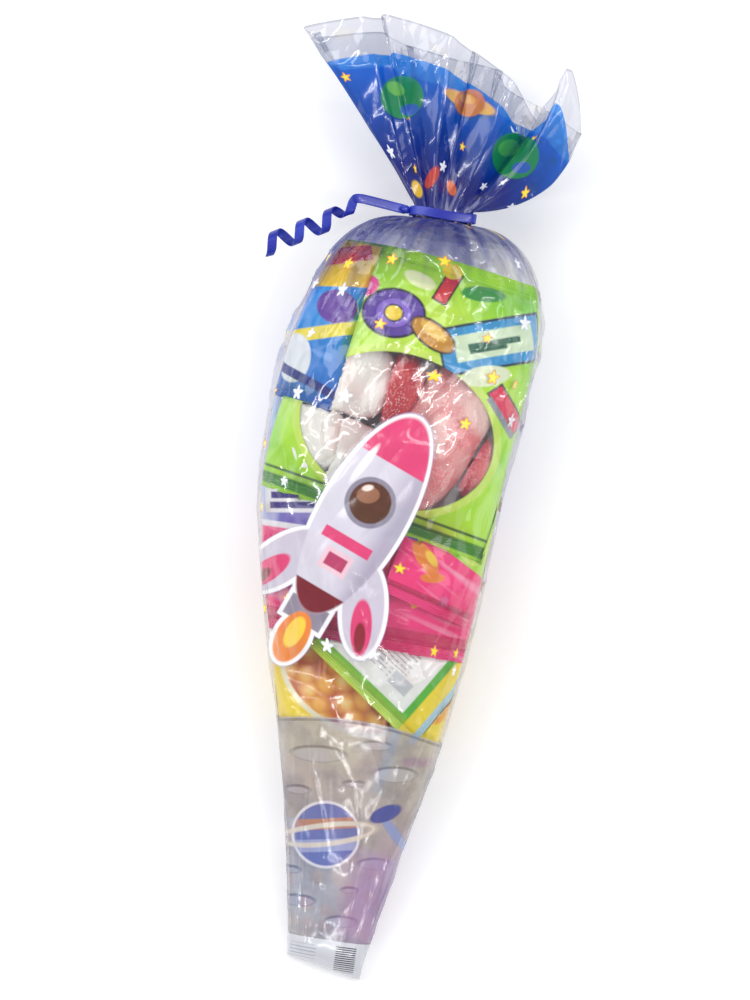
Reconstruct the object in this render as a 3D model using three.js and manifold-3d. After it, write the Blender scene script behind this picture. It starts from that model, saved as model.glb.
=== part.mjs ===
// A filled candy cone, lying on its back: a clear printed film cone bag, gathered and tied at the neck
// with curling ribbon, with sweet packs pressed against the film inside it.
// Millimetres. +Y runs from the tip to the frill, +X to the right seen from above, +Z up from the surface.

import * as THREE from "three";
import { mergeVertices } from "three/addons/utils/BufferGeometryUtils.js";
import Module from "manifold-3d";

const wasm = await Module();
wasm.setup();

// Film bag, from the folded tip to the tie.
const bag = {
  bodyLength: 406,
  shoulderLength: 96,
  width: 135,
  depth: 92,
  tipWidth: 41,
  tipDepth: 17,
  toeLength: 12,
  seamThickness: 2,
  tipSlant: 0.2,
  sway: 10,
  swayLength: 390,
  tipShift: 2,
  neckShift: 6.5,
  neckWidth: 31,
  neckDepth: 9,
  neckLength: 7,
  neckHeight: 45,
  throatWidth: 18,
  throatDepth: 2,
  wall: 0.8,
};

// Frill of loose film above the tie. Its rim is a closed curve, given from the middle of the tie and
// starting at the right, then over the front to the left and back behind: how far right, along and up
// each crest and hollow lies, and how far the film bows out to the right on its way there.
const frill = {
  neckPleatDepth: 1.4,
  rim: [
    [67, 50, 0, 26],
    [58, 77, 14, 14],
    [40, 57, -2, 6],
    [27, 70, 17, 2],
    [6, 83, 3, 0],
    [-14, 91, 17, 0],
    [-38, 96, 3, 0],
    [-63, 92, 12, 0],
    [-87, 85, 0, 0],
    [-74, 83, -12, 0],
    [-50, 88, -4, 0],
    [-28, 84, -17, 0],
    [-6, 80, -5, 0],
    [14, 80, -19, 0],
    [30, 66, -7, 4],
    [48, 62, -21, 14],
  ],
};

// Curling ribbon: a band round the neck, its knot and one long curled end.
const ribbon = {
  width: 5,
  thickness: 0.8,
  looseness: 0.35,
  knotSize: 8,
  leadLength: 26,
  leadRise: 10,
  leadShift: 2,
  curlTurns: 3.5,
  curlPitch: 15.5,
  curlRadius: 6.5,
  curlStart: 0.35,
  curlGrowth: 0.5,
  curlSquash: 0.9,
  curlFall: 30,
};

// Room that a pack keeps to the film, to its neighbours, and a sweet to its wrapper.
const clearance = { film: 0.7, pack: 0.5, sweet: 0.4 };

// Sealed packs, the uppermost first. A pack lies at a share of the cone's length and half width, and its
// seam lies at a level between the back (0) and the front (1) of the bag, tilted along and across the pack.
const packs = [
  {
    name: "wafer_pack",
    along: 0.85, across: -0.78, turn: -9,
    width: 38, length: 92, thickness: 22, seal: 6,
    level: 0.68, tiltAlong: 0.05, tiltAcross: 0.08,
    colour: 0x1e9be0,
  },
  {
    name: "marshmallow_pack",
    along: 0.773, across: 0.06, turn: -9,
    width: 126, length: 146, thickness: 50, seal: 7,
    level: 0.7, tiltAlong: 0, tiltAcross: 0,
    colour: 0x8ccc1a,
  },
  {
    name: "chew_pack",
    along: 0.6, across: 0.7, turn: -12,
    width: 56, length: 84, thickness: 16, seal: 6,
    level: 0.7, tiltAlong: -0.3, tiltAcross: -0.05,
    colour: 0x63c51c,
  },
  {
    name: "popcorn_pack",
    along: 0.66, across: 0, turn: 3,
    width: 132, length: 182, thickness: 44, seal: 7,
    level: 0.47, tiltAlong: -0.3, tiltAcross: 0,
    colour: 0xe0216c,
  },
  {
    name: "gummy_pack",
    along: 0.455, across: 0.3, turn: -32,
    width: 84, length: 72, thickness: 22, seal: 5,
    level: 0.68, tiltAlong: -0.24, tiltAcross: 0.02,
    colour: 0x5cc22a,
  },
  {
    name: "nougat_pack",
    along: 0.36, across: 0.72, turn: -8,
    width: 34, length: 96, thickness: 26, seal: 5,
    level: 0.6, tiltAlong: -0.05, tiltAcross: -0.1,
    colour: 0xf2d216,
  },
  {
    name: "snack_pack",
    along: 0.33, across: -0.12, turn: -6,
    width: 98, length: 122, thickness: 46, seal: 6,
    level: 0.47, tiltAlong: -0.1, tiltAcross: 0,
    colour: 0xf4d90a,
  },
  {
    name: "jelly_pack",
    along: 0.125, across: 0.02, turn: 6,
    width: 58, length: 74, thickness: 40, seal: 5,
    level: 0.5, tiltAlong: 0, tiltAcross: 0,
    colour: 0xe58ac0,
  },
];

// Loose sweets in the marshmallow pack, placed from the middle of its window: [across, along] and sizes.
const sweets = [
  { name: "sugared_gummy_1", at: [21, 3], size: [46, 80, 40], turn: -14, round: 2.6, colour: 0xe8677a },
  { name: "marshmallow_1", at: [-28, 16], size: [42, 31, 34], turn: 2, round: 3.4, colour: 0xf7ece2 },
  { name: "marshmallow_2", at: [-40, -12], size: [25, 38, 34], turn: 16, round: 3.4, colour: 0xf6e3dc },
  { name: "sugared_gummy_2", at: [-9, 13], size: [22, 30, 32], turn: 20, round: 2.4, colour: 0xe2474f },
  { name: "marshmallow_3", at: [-19, -22], size: [38, 30, 32], turn: -8, round: 3.4, colour: 0xf7ece2 },
  { name: "sugared_gummy_3", at: [44, -8], size: [24, 42, 30], turn: -6, round: 2.4, colour: 0xe2474f },
];

// Window of the marshmallow pack, an oval in plan measured from the middle of the pack.
const packWindow = {
  pack: "marshmallow_pack",
  across: 0, along: -22,
  width: 104, length: 84,
  power: 2.5, skin: 0.9, rim: 9,
};

const colours = { film: 0x3a6fc4, ribbon: 0x2438b8 };
const roughness = { film: 0.15, pack: 0.35, sweet: 0.9 };
const FILM_OPACITY = 0.35;

// How finely the curved surfaces are cut into facets.
const facets = {
  round: 64,
  body: 8,
  shoulder: 6,
  frill: 5,
  packAcross: 8,
  packAlong: 10,
  window: 24,
  lumpRound: 14,
  lumpTall: 9,
  band: 20,
  knotRound: 10,
  knotTall: 6,
  lead: 4,
  curl: 14,
};

const SECTION_POWER = { front: 2.3, back: 2.8, neck: 2 };
const SHOULDER_POWER = 2.5;
const SWELL_POWER = 1.3;
const SWAY_POWER = 1.75;
const TOE_POWER = 2;
const WAIST_LEVEL = 0.46;
const FLOOR_SQUASH = 0.07;
const FIN_THICKNESS = 1.2;
const THINNEST = 0.05;
const PILLOW_POWER = { section: 3, rise: 0.6 };
const EDGE_EASE = { from: 0.8, limit: 0.93 };
const RIM_POWER = 6;
const KNOT_FLATNESS = 0.75;
const WELD_DISTANCE = 1e-4;

// The packs reach from this loop of the skin to the last one before the tie.
const FIRST_PACKED_LOOP = 2;

const radians = THREE.MathUtils.degToRad;
const mix = THREE.MathUtils.lerp;
const shoulderStart = bag.bodyLength - bag.shoulderLength;
const neck = new THREE.Vector3(bag.neckShift, bag.bodyLength, bag.neckHeight);
const windowed = packs.find((pack) => pack.name === packWindow.pack);
const stations = bodyStations();
const rimCurve = new THREE.CatmullRomCurve3(
  frill.rim.map(([right, along, up]) => new THREE.Vector3(right, along, up)),
  true,
);
const skin = skinRows();

// Signed power of a sine or cosine, which turns a circle into a superellipse.
function squared(value, power) {
  return Math.sign(value) * Math.abs(value) ** (2 / power);
}

// Height of a superellipse of half height 1 at a share of its half width.
function archHeight(share, power) {
  return (1 - Math.min(1, Math.abs(share)) ** power) ** (1 / power);
}

// How far a section has grown from the neck to the full body, from 0 at the tie to 1 at the widest.
function shoulderShare(y) {
  return archHeight(THREE.MathUtils.clamp((y - shoulderStart) / bag.shoulderLength, 0, 1), SHOULDER_POWER);
}

// Width, height and place of the cone's outer section at a distance from the tip.
function sectionAt(y) {
  const rise = THREE.MathUtils.clamp(y / shoulderStart, 0, 1);
  const swell = Math.sin((rise * Math.PI) / 2) ** SWELL_POWER;
  const share = shoulderShare(y);
  const toe = archHeight(1 - THREE.MathUtils.clamp(y / bag.toeLength, 0, 1), TOE_POWER);
  const body = mix(bag.tipDepth, bag.depth, swell);
  const half = mix(bag.neckWidth, mix(bag.tipWidth, bag.width, swell), share) / 2;
  const high = mix(neck.z + bag.neckDepth / 2, mix(bag.seamThickness, body, toe), share);
  const low = mix(neck.z - bag.neckDepth / 2, 0, share);
  const bend = Math.sin(Math.PI * Math.min(1, y / bag.swayLength) ** SWAY_POWER) ** 2;
  const centre = mix(bag.tipShift, bag.neckShift, y / bag.bodyLength) - bag.sway * bend;
  return { centre, half, low, high, waist: mix(low, high, WAIST_LEVEL), share };
}

// The tip is folded over at a slant, and the slant fades out up the cone.
function slanted(y, offset) {
  return y - bag.tipSlant * (1 - THREE.MathUtils.clamp(y / shoulderStart, 0, 1)) * offset;
}

// Point of the body's outer skin at an angle round the section, 0 being the right-hand side.
function bodyPoint(angle, y) {
  const s = sectionAt(y);
  const front = Math.sin(angle) > 0;
  const power = mix(SECTION_POWER.neck, front ? SECTION_POWER.front : SECTION_POWER.back, s.share);
  const reach = front ? s.high - s.waist : s.waist - s.low + FLOOR_SQUASH * (s.high - s.low);
  const x = s.centre + s.half * squared(Math.cos(angle), power);
  const z = Math.max(s.low, s.waist + reach * squared(Math.sin(angle), power));
  return pleated(new THREE.Vector3(x, slanted(y, x - s.centre), z), angle, 1 - s.share);
}

// Pleats that the tie draws into the film, one to each crest of the rim, deepest at the neck.
function pleated(point, angle, pull) {
  const depth = -frill.neckPleatDepth * pull ** 2 * Math.cos((frill.rim.length / 2) * angle);
  point.x += depth * Math.cos(angle);
  point.z += depth * Math.sin(angle);
  return point;
}

// Point of the straight neck that the ribbon grips.
function neckPoint(angle, rise) {
  const x = neck.x + (bag.neckWidth / 2) * Math.cos(angle);
  const z = neck.z + (bag.neckDepth / 2) * Math.sin(angle);
  return pleated(new THREE.Vector3(x, neck.y + rise * bag.neckLength, z), angle, 1);
}

// Sideways bow of the film at a turn round the rim, straight between the rim's own points.
function rimBow(turn) {
  const place = turn * frill.rim.length;
  const bowAt = (k) => frill.rim[k % frill.rim.length][3];
  return mix(bowAt(Math.floor(place)), bowAt(Math.ceil(place)), place % 1);
}

// Point of the frill: the film runs from the neck to its rim, bowing sideways on the way.
function frillPoint(angle, share) {
  const start = neckPoint(angle, 1);
  const turn = angle / (2 * Math.PI);
  const end = rimCurve.getPoint(turn).add(new THREE.Vector3(neck.x, neck.y + bag.neckLength, neck.z));
  const run = end.clone().sub(start).setZ(0).normalize();
  const turned = new THREE.Vector3(run.y, -run.x, 0).multiplyScalar(rimBow(turn));
  const elbow = start.clone().lerp(end, 0.5).add(turned);
  return new THREE.QuadraticBezierCurve3(start, elbow, end).getPoint(share);
}

// Distances from the tip at which the body's skin has a loop of corners.
function bodyStations() {
  const places = [0, bag.toeLength / 3, bag.toeLength];
  for (let i = 1; i <= facets.body; i++) places.push(mix(bag.toeLength, shoulderStart, i / facets.body));
  for (let i = 1; i < facets.shoulder; i++) {
    const turn = ((i / facets.shoulder) * Math.PI) / 2;
    places.push(shoulderStart + bag.shoulderLength * Math.sin(turn) ** (2 / SHOULDER_POWER));
  }
  return places;
}

// Closed loops of the outer skin, from the tip to the mouth of the frill.
function skinRows() {
  const rings = [];
  const ring = (at) => {
    const points = [];
    for (let i = 0; i < facets.round; i++) points.push(at((2 * Math.PI * i) / facets.round));
    rings.push(points);
  };
  for (const y of stations) ring((angle) => bodyPoint(angle, y));
  const tie = rings.length;
  ring((angle) => neckPoint(angle, 0));
  ring((angle) => neckPoint(angle, 1));
  for (let i = 1; i <= facets.frill; i++) ring((angle) => frillPoint(angle, i / facets.frill));
  return { rings, tie };
}

// Outward normal of a grid of rings at one of its points, from its four neighbours.
function gridNormal(rings, row, i) {
  const count = rings[row].length;
  const round = rings[row][(i + 1) % count].clone().sub(rings[row][(i + count - 1) % count]);
  const last = rings.length - 1;
  const along = rings[Math.min(row + 1, last)][i].clone().sub(rings[Math.max(row - 1, 0)][i]);
  return along.cross(round).normalize();
}

// Loops moved inwards from the skin by a distance.
function insetRings(rings, distance) {
  return rings.map((ring, row) =>
    ring.map((point, i) => point.clone().addScaledVector(gridNormal(rings, row, i), -distance)),
  );
}

// Inner loops: the skin less its wall, drawn in to a narrow throat where the tie bunches the film.
function liningRings({ rings, tie }) {
  const inner = insetRings(rings, bag.wall);
  for (const row of [tie, tie + 1]) {
    inner[row] = rings[row].map((point, i) => {
      const angle = (2 * Math.PI * i) / facets.round;
      const x = neck.x + (bag.throatWidth / 2) * Math.cos(angle);
      return new THREE.Vector3(x, point.y, neck.z + (bag.throatDepth / 2) * Math.sin(angle));
    });
  }
  return inner.slice(1);
}

// A triangle mesh under construction, in plain arrays.
class MeshBuilder {
  positions = [];
  faces = [];

  addRing(points) {
    const first = this.positions.length / 3;
    for (const p of points) this.positions.push(p.x, p.y, p.z);
    return points.map((_, i) => first + i);
  }

  // Band of triangles between two closed loops of the same length, facing outwards.
  bridge(lower, upper) {
    lower.forEach((a, i) => {
      const b = lower[(i + 1) % lower.length];
      const c = upper[(i + 1) % upper.length];
      this.faces.push(a, b, c, a, c, upper[i]);
    });
  }

  // Two triangles to each cell of a grid of corners.
  sheet(lines, facingUp) {
    for (let j = 1; j < lines.length; j++) {
      for (let i = 1; i < lines[j].length; i++) {
        const [a, b, c, d] = [lines[j - 1][i - 1], lines[j - 1][i], lines[j][i], lines[j][i - 1]];
        if (facingUp) this.faces.push(a, b, c, a, c, d);
        else this.faces.push(a, c, b, a, d, c);
      }
    }
  }

  // Cap over a closed loop, as a fan round its middle.
  cap(loop, flipped) {
    const middle = new THREE.Vector3();
    for (const i of loop) middle.add(new THREE.Vector3().fromArray(this.positions, 3 * i));
    const [centre] = this.addRing([middle.divideScalar(loop.length)]);
    loop.forEach((a, i) => {
      const b = loop[(i + 1) % loop.length];
      if (flipped) this.faces.push(centre, a, b);
      else this.faces.push(centre, b, a);
    });
  }

  geometry() {
    return new THREE.BufferGeometry()
      .setAttribute("position", new THREE.Float32BufferAttribute(this.positions, 3))
      .setIndex(this.faces);
  }
}

function solidFrom(geometry) {
  const bare = geometry.clone();
  bare.deleteAttribute("normal");
  bare.deleteAttribute("uv");
  const merged = mergeVertices(bare, WELD_DISTANCE);
  const mesh = new wasm.Mesh({
    numProp: 3,
    vertProperties: merged.attributes.position.array,
    triVerts: new Uint32Array(merged.index.array),
  });
  return new wasm.Manifold(mesh);
}

function geometryFrom(solid) {
  const mesh = solid.getMesh();
  return new THREE.BufferGeometry()
    .setAttribute("position", new THREE.BufferAttribute(mesh.vertProperties, 3))
    .setIndex(new THREE.BufferAttribute(mesh.triVerts, 1));
}

// The largest body of a cut solid, without the crumbs that a cut can leave.
function largestBody(solid) {
  return solid.decompose().reduce((best, body) => (body.volume() > best.volume() ? body : best));
}

// Film bag: skin and lining joined at the mouth of the frill and closed at the tip.
function filmBag() {
  const builder = new MeshBuilder();
  const outer = skin.rings.map((ring) => builder.addRing(ring));
  const inner = liningRings(skin).map((ring) => builder.addRing(ring));
  for (let k = 1; k < outer.length; k++) builder.bridge(outer[k], outer[k - 1]);
  for (let k = 1; k < inner.length; k++) builder.bridge(inner[k - 1], inner[k]);
  builder.bridge(inner.at(-1), outer.at(-1));
  builder.cap(outer[0], true);
  builder.cap(inner[0], false);
  return solidFrom(builder.geometry());
}

// The space in the bag that packs can fill, drawn in by a skin on every side.
function packingRoom(drawnIn) {
  const builder = new MeshBuilder();
  const rings = insetRings(skin.rings, bag.wall + clearance.film + drawnIn);
  const loops = rings.slice(FIRST_PACKED_LOOP, skin.tie - 1).map((ring) => builder.addRing(ring));
  for (let k = 1; k < loops.length; k++) builder.bridge(loops[k], loops[k - 1]);
  builder.cap(loops[0], true);
  builder.cap(loops.at(-1), false);
  return solidFrom(builder.geometry());
}

// Leaves small values alone and brings large ones smoothly under a limit.
function softLimit(value, from, limit) {
  const size = Math.abs(value);
  if (size <= from) return value;
  const span = limit - from;
  return Math.sign(value) * (from + span * Math.tanh((size - from) / span));
}

// Height of a level between the bag's back (0) and front (1), above one point of the plan.
function levelHeight(x, y, level) {
  const s = sectionAt(THREE.MathUtils.clamp(y, 0, bag.bodyLength));
  const share = softLimit((x - s.centre) / s.half, EDGE_EASE.from, EDGE_EASE.limit);
  const high = s.waist + (s.high - s.waist) * archHeight(share, SECTION_POWER.front);
  const low = s.waist - (s.waist - s.low) * archHeight(share, SECTION_POWER.back);
  return mix(low, high, level);
}

// Height share of a pillow: flat at its two end seals and its side edges, full in the middle.
function pillowShare(a, b, sealShare) {
  const along = Math.min(1, Math.abs(b) / (1 - sealShare));
  const { section, rise } = PILLOW_POWER;
  return ((1 - Math.abs(a) ** section) * (1 - along ** section)) ** rise;
}

// Plan position of a point given from the middle of a pack.
function packPlace(pack, x, y) {
  const turn = radians(pack.turn);
  const middleY = pack.along * bag.bodyLength;
  const middle = sectionAt(middleY);
  return new THREE.Vector3(
    middle.centre + pack.across * middle.half + x * Math.cos(turn) - y * Math.sin(turn),
    middleY + x * Math.sin(turn) + y * Math.cos(turn),
    0,
  );
}

// All of the space above the underside of a pack.
function spaceAbove(pack, grow) {
  return pillow(pack, grow, "outside");
}

// Top and bottom points of a pack at a and b, from -1 to 1 across and along it, and one above the bag.
function packPoint(pack, a, b, grow) {
  const place = packPlace(pack, a * (pack.width / 2 + grow), b * (pack.length / 2 + grow));
  const seam = levelHeight(place.x, place.y, pack.level + pack.tiltAlong * b + pack.tiltAcross * a);
  const filling = (pack.thickness / 2) * pillowShare(a, b, (2 * pack.seal) / pack.length);
  const bulge = Math.max(FIN_THICKNESS / 2 + filling + grow, THINNEST);
  return {
    top: place.clone().setZ(seam + bulge),
    bottom: place.clone().setZ(seam - bulge),
    outside: place.clone().setZ(2 * bag.depth),
  };
}

// Lines of corners on one face of a pack, closer together towards its edges.
function packLines(pack, grow, face) {
  const spread = (k, count) => Math.sin(((2 * k) / count - 1) * (Math.PI / 2));
  const lines = [];
  for (let j = 0; j <= facets.packAlong; j++) {
    const line = [];
    for (let i = 0; i <= facets.packAcross; i++) {
      const [a, b] = [spread(i, facets.packAcross), spread(j, facets.packAlong)];
      line.push(packPoint(pack, a, b, grow)[face]);
    }
    lines.push(line);
  }
  return lines;
}

// Corners round the edge of a grid, in order.
function gridEdge(lines) {
  return [
    ...lines[0].slice(0, -1),
    ...lines.slice(0, -1).map((line) => line.at(-1)),
    ...lines.at(-1).slice(1).reverse(),
    ...lines.slice(1).map((line) => line[0]).reverse(),
  ];
}

// Pillow-shaped solid of a pack. Its faces stand off the pack's own by grow, and its upper face is the
// pack's top or one outside the bag.
function pillow(pack, grow = 0, upperFace = "top") {
  const builder = new MeshBuilder();
  const [top, bottom] = [upperFace, "bottom"].map((face) =>
    packLines(pack, grow, face).map((line) => builder.addRing(line)),
  );
  builder.sheet(top, true);
  builder.sheet(bottom, false);
  builder.bridge(gridEdge(bottom), gridEdge(top));
  return solidFrom(builder.geometry());
}

// Upright prism with an oval outline given from the middle of a pack, from a height upwards.
function ovalPrism(pack, oval, bottom) {
  const outline = new THREE.Shape();
  for (let i = 0; i < facets.window; i++) {
    const angle = (2 * Math.PI * (i + 0.5)) / facets.window;
    const x = oval.across + (oval.width / 2) * squared(Math.cos(angle), oval.power);
    const y = oval.along + (oval.length / 2) * squared(Math.sin(angle), oval.power);
    if (i) outline.lineTo(x, y);
    else outline.moveTo(x, y);
  }
  outline.closePath();
  const prism = new THREE.ExtrudeGeometry(outline, { depth: 2 * bag.depth, bevelEnabled: false });
  const seat = packPlace(pack, 0, 0);
  prism.rotateZ(radians(pack.turn)).translate(seat.x, seat.y, bottom);
  return solidFrom(prism);
}

// Hollow of the marshmallow pack, drawn in by a skin on every side and under the packs that lie on it.
function packHollow(pack, drawnIn) {
  const rim = {
    across: 0,
    along: 0,
    width: pack.width - 2 * packWindow.rim,
    length: pack.length - 2 * (packWindow.rim + pack.seal),
    power: RIM_POWER,
  };
  let hollow = pillow(pack, -drawnIn).intersect(ovalPrism(pack, rim, -bag.depth / 2));
  hollow = hollow.intersect(packingRoom(drawnIn));
  for (const upper of packs.slice(0, packs.indexOf(pack))) {
    hollow = hollow.subtract(spaceAbove(upper, clearance.pack + drawnIn));
  }
  return hollow;
}

// Ball pulled out to a superellipsoid of half size 1; a higher power is squarer.
function squareBall(power) {
  const ball = new THREE.SphereGeometry(1, facets.lumpRound, facets.lumpTall);
  const place = ball.attributes.position;
  for (let i = 0; i < place.count; i++) {
    const p = new THREE.Vector3().fromBufferAttribute(place, i);
    const sum = p.toArray().reduce((total, part) => total + Math.abs(part) ** power, 0);
    place.setXYZ(i, ...p.divideScalar(sum ** (1 / power)));
  }
  return ball;
}

// Rounded lump of a sweet, standing on the same seam level as its pack.
function lump(pack, sweet, grow) {
  const [width, length, height] = sweet.size.map((size) => size / 2 + grow);
  const [across, along] = sweet.at;
  const seat = packPlace(pack, packWindow.across + across, packWindow.along + along);
  const ball = squareBall(sweet.round).scale(width, length, height).rotateZ(radians(sweet.turn));
  ball.translate(seat.x, seat.y, levelHeight(seat.x, seat.y, pack.level));
  return solidFrom(ball);
}

// Sweets in the hollow: each is squeezed to the hollow and gives way to the ones before it.
function looseSweets(pack) {
  const hollow = packHollow(pack, packWindow.skin + clearance.sweet);
  const made = [];
  sweets.forEach((sweet, order) => {
    let solid = hollow.intersect(lump(pack, sweet, 0));
    for (const earlier of sweets.slice(0, order)) {
      solid = solid.subtract(lump(pack, earlier, clearance.sweet));
    }
    made.push({ name: sweet.name, solid: largestBody(solid), colour: sweet.colour });
  });
  return made;
}

// Packs from the top down. Each is cut back by a clearance where an upper one presses on it.
function pressedPacks() {
  const room = packingRoom(0);
  return packs.map((pack, order) => {
    let solid = pillow(pack).intersect(room);
    if (pack === windowed) {
      const opening = ovalPrism(pack, packWindow, bag.depth * pack.level);
      solid = solid.subtract(packHollow(pack, packWindow.skin)).subtract(opening);
    }
    for (const upper of packs.slice(0, order)) solid = solid.subtract(spaceAbove(upper, clearance.pack));
    return { name: pack.name, solid: largestBody(solid), colour: pack.colour };
  });
}

// Ribbon strip along a path, given as frames with a middle, a width direction and a face direction.
function strip(frames) {
  const builder = new MeshBuilder();
  const half = ribbon.width / 2;
  const skin = ribbon.thickness / 2;
  const rings = frames.map(({ middle, across, face }) =>
    builder.addRing(
      [[-1, -1], [1, -1], [1, 1], [-1, 1]].map(([u, v]) =>
        middle.clone().addScaledVector(across, u * half).addScaledVector(face, v * skin),
      ),
    ),
  );
  for (let k = 1; k < rings.length; k++) builder.bridge(rings[k - 1], rings[k]);
  builder.cap(rings[0], false);
  builder.cap(rings.at(-1), true);
  const solid = solidFrom(builder.geometry());
  if (solid.volume() > 0) return solid;
  throw new Error("the ribbon strip is inside out");
}

// Half sizes of the ribbon band round the pleated neck, at the middle of its thickness.
function bandHalf() {
  const out = frill.neckPleatDepth + ribbon.looseness + ribbon.thickness / 2;
  return { x: bag.neckWidth / 2 + out, z: bag.neckDepth / 2 + out };
}

// Oval of the band, moved out from the middle of its thickness.
function bandOval(PathType, out) {
  const half = bandHalf();
  return new PathType().absellipse(0, 0, half.x + out, half.z + out, 0, 2 * Math.PI);
}

// Band: an oval ring standing in the straight neck.
function ribbonBand() {
  const outline = bandOval(THREE.Shape, ribbon.thickness / 2);
  outline.holes.push(bandOval(THREE.Path, -ribbon.thickness / 2));
  const ring = new THREE.ExtrudeGeometry(outline, {
    depth: ribbon.width,
    bevelEnabled: false,
    curveSegments: facets.band,
  });
  ring.rotateX(Math.PI / 2);
  ring.translate(neck.x, neck.y + (bag.neckLength + ribbon.width) / 2, neck.z);
  return solidFrom(ring);
}

// Knot: a small pulled-tight lump on the left end of the band.
function ribbonKnot(middle) {
  const knot = new THREE.SphereGeometry(ribbon.knotSize / 2, facets.knotRound, facets.knotTall);
  knot.scale(KNOT_FLATNESS, ribbon.width / ribbon.knotSize, 1);
  knot.translate(middle.x, middle.y, middle.z);
  return solidFrom(knot);
}

// Points of a corkscrew that widens as it runs along its axis from a start.
function curlPoints(start, axis) {
  const up = new THREE.Vector3(0, 0, 1);
  const side = new THREE.Vector3().crossVectors(up, axis);
  const steps = Math.round(ribbon.curlTurns * facets.curl);
  const points = [];
  for (let k = 0; k <= steps; k++) {
    const turns = (ribbon.curlTurns * k) / steps;
    const radius = ribbon.curlRadius * Math.min(1, ribbon.curlStart + ribbon.curlGrowth * turns);
    const angle = 2 * Math.PI * turns;
    const point = start.clone().addScaledVector(axis, ribbon.curlPitch * turns);
    point.addScaledVector(side, radius * (1 - Math.cos(angle)) * ribbon.curlSquash);
    points.push(point.addScaledVector(up, radius * Math.sin(angle)));
  }
  return points;
}

// Long end: a straight lead away from the knot, then a corkscrew. The strip's width lies along the neck
// on the lead and turns to lie along the corkscrew's axis within its first half turn.
function ribbonTail(knotMiddle) {
  const fall = radians(ribbon.curlFall);
  const axis = new THREE.Vector3(-Math.cos(fall), -Math.sin(fall), 0);
  const lead = new THREE.Vector3(-ribbon.leadLength, ribbon.leadShift, ribbon.leadRise);
  const points = [];
  for (let i = 0; i < facets.lead; i++) {
    points.push(knotMiddle.clone().addScaledVector(lead, i / facets.lead));
  }
  points.push(...curlPoints(knotMiddle.clone().add(lead), axis));
  const curve = new THREE.CatmullRomCurve3(points);
  const frames = points.map((middle, k) => {
    const tangent = curve.getTangent(k / (points.length - 1));
    const turned = THREE.MathUtils.clamp((k - facets.lead) / (facets.curl / 2), 0, 1);
    const wish = new THREE.Vector3(0, 1, 0).lerp(axis, turned);
    const across = wish.addScaledVector(tangent, -wish.dot(tangent)).normalize();
    return { middle, across, face: tangent.clone().cross(across).normalize() };
  });
  return strip(frames);
}

// Ribbon: the band, the knot against its left end and the long curled end, joined.
function curlingRibbon() {
  const inner = bandHalf().x - ribbon.thickness / 2;
  const out = inner + (KNOT_FLATNESS * ribbon.knotSize) / 2;
  const knotMiddle = new THREE.Vector3(neck.x - out, neck.y + bag.neckLength / 2, neck.z);
  return ribbonBand().add(ribbonKnot(knotMiddle)).add(ribbonTail(knotMiddle));
}

function meshFrom({ name, solid, colour }, rough = roughness.pack) {
  const material = new THREE.MeshStandardMaterial({ color: colour, roughness: rough, metalness: 0 });
  const mesh = new THREE.Mesh(geometryFrom(solid), material);
  mesh.name = name;
  return mesh;
}

const candyCone = new THREE.Group();
const film = meshFrom({ name: "cone_bag", solid: filmBag(), colour: colours.film }, roughness.film);
film.material.transparent = true;
film.material.opacity = FILM_OPACITY;
candyCone.add(film);
candyCone.add(meshFrom({ name: "curling_ribbon", solid: curlingRibbon(), colour: colours.ribbon }));
for (const pack of pressedPacks()) candyCone.add(meshFrom(pack));
for (const sweet of looseSweets(windowed)) candyCone.add(meshFrom(sweet, roughness.sweet));

// The origin is the middle of the footprint, on the surface that the cone lies on.
const extent = new THREE.Box3().setFromObject(candyCone);
const middle = extent.getCenter(new THREE.Vector3());
candyCone.position.set(-middle.x, -middle.y, -extent.min.z);

export default candyCone;
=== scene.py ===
# %% [markdown]
# # A filled candy cone
# A cone of clear printed film holds sealed packs of sweets. It is tied with curling ribbon, and it lies
# on its back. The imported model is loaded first, because it fixes every size and place. Each soft piece is
# then made again, finer, in the room that its plain solid holds.

# %% The frame
import math

import bpy
import numpy as np
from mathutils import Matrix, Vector


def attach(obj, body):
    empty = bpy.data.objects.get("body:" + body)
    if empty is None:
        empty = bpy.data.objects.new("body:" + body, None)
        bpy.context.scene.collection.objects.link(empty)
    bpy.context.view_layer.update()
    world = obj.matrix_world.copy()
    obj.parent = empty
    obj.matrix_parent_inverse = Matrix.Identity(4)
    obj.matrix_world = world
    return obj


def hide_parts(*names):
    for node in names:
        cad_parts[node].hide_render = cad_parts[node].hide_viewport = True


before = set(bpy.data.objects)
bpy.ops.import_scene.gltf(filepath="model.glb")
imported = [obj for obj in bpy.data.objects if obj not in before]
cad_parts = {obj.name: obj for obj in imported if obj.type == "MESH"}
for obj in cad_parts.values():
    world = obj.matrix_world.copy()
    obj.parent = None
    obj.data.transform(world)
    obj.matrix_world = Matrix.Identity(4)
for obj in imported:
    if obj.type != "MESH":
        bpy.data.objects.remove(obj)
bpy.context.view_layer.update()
print("frame loaded:", len(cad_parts), "nodes")

# %% [markdown]
# ## Units and the cone's own measure
# The shapes are easiest to follow in millimetres measured from the middle of the folded tip: x to the
# right, y up the cone, z towards the front. One function turns them into the frame's metres.

# %% From cone millimetres to frame metres
MM = 0.001
TIP_PLACE = np.array([4.914, -252.466, 0.0])  # the folded tip's middle, in the frame


def to_frame(points):
    """Cone millimetres plus the tip's place, scaled to metres."""
    return (np.asarray(points, float) + TIP_PLACE) * MM


# %% [markdown]
# ## From a grid of points to a mesh
# Almost every piece here is a sheet or a tube: a grid of points whose columns may run round and meet
# again. A tube's end is closed like a zip, by joining each column to its mirror image across the end.

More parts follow.
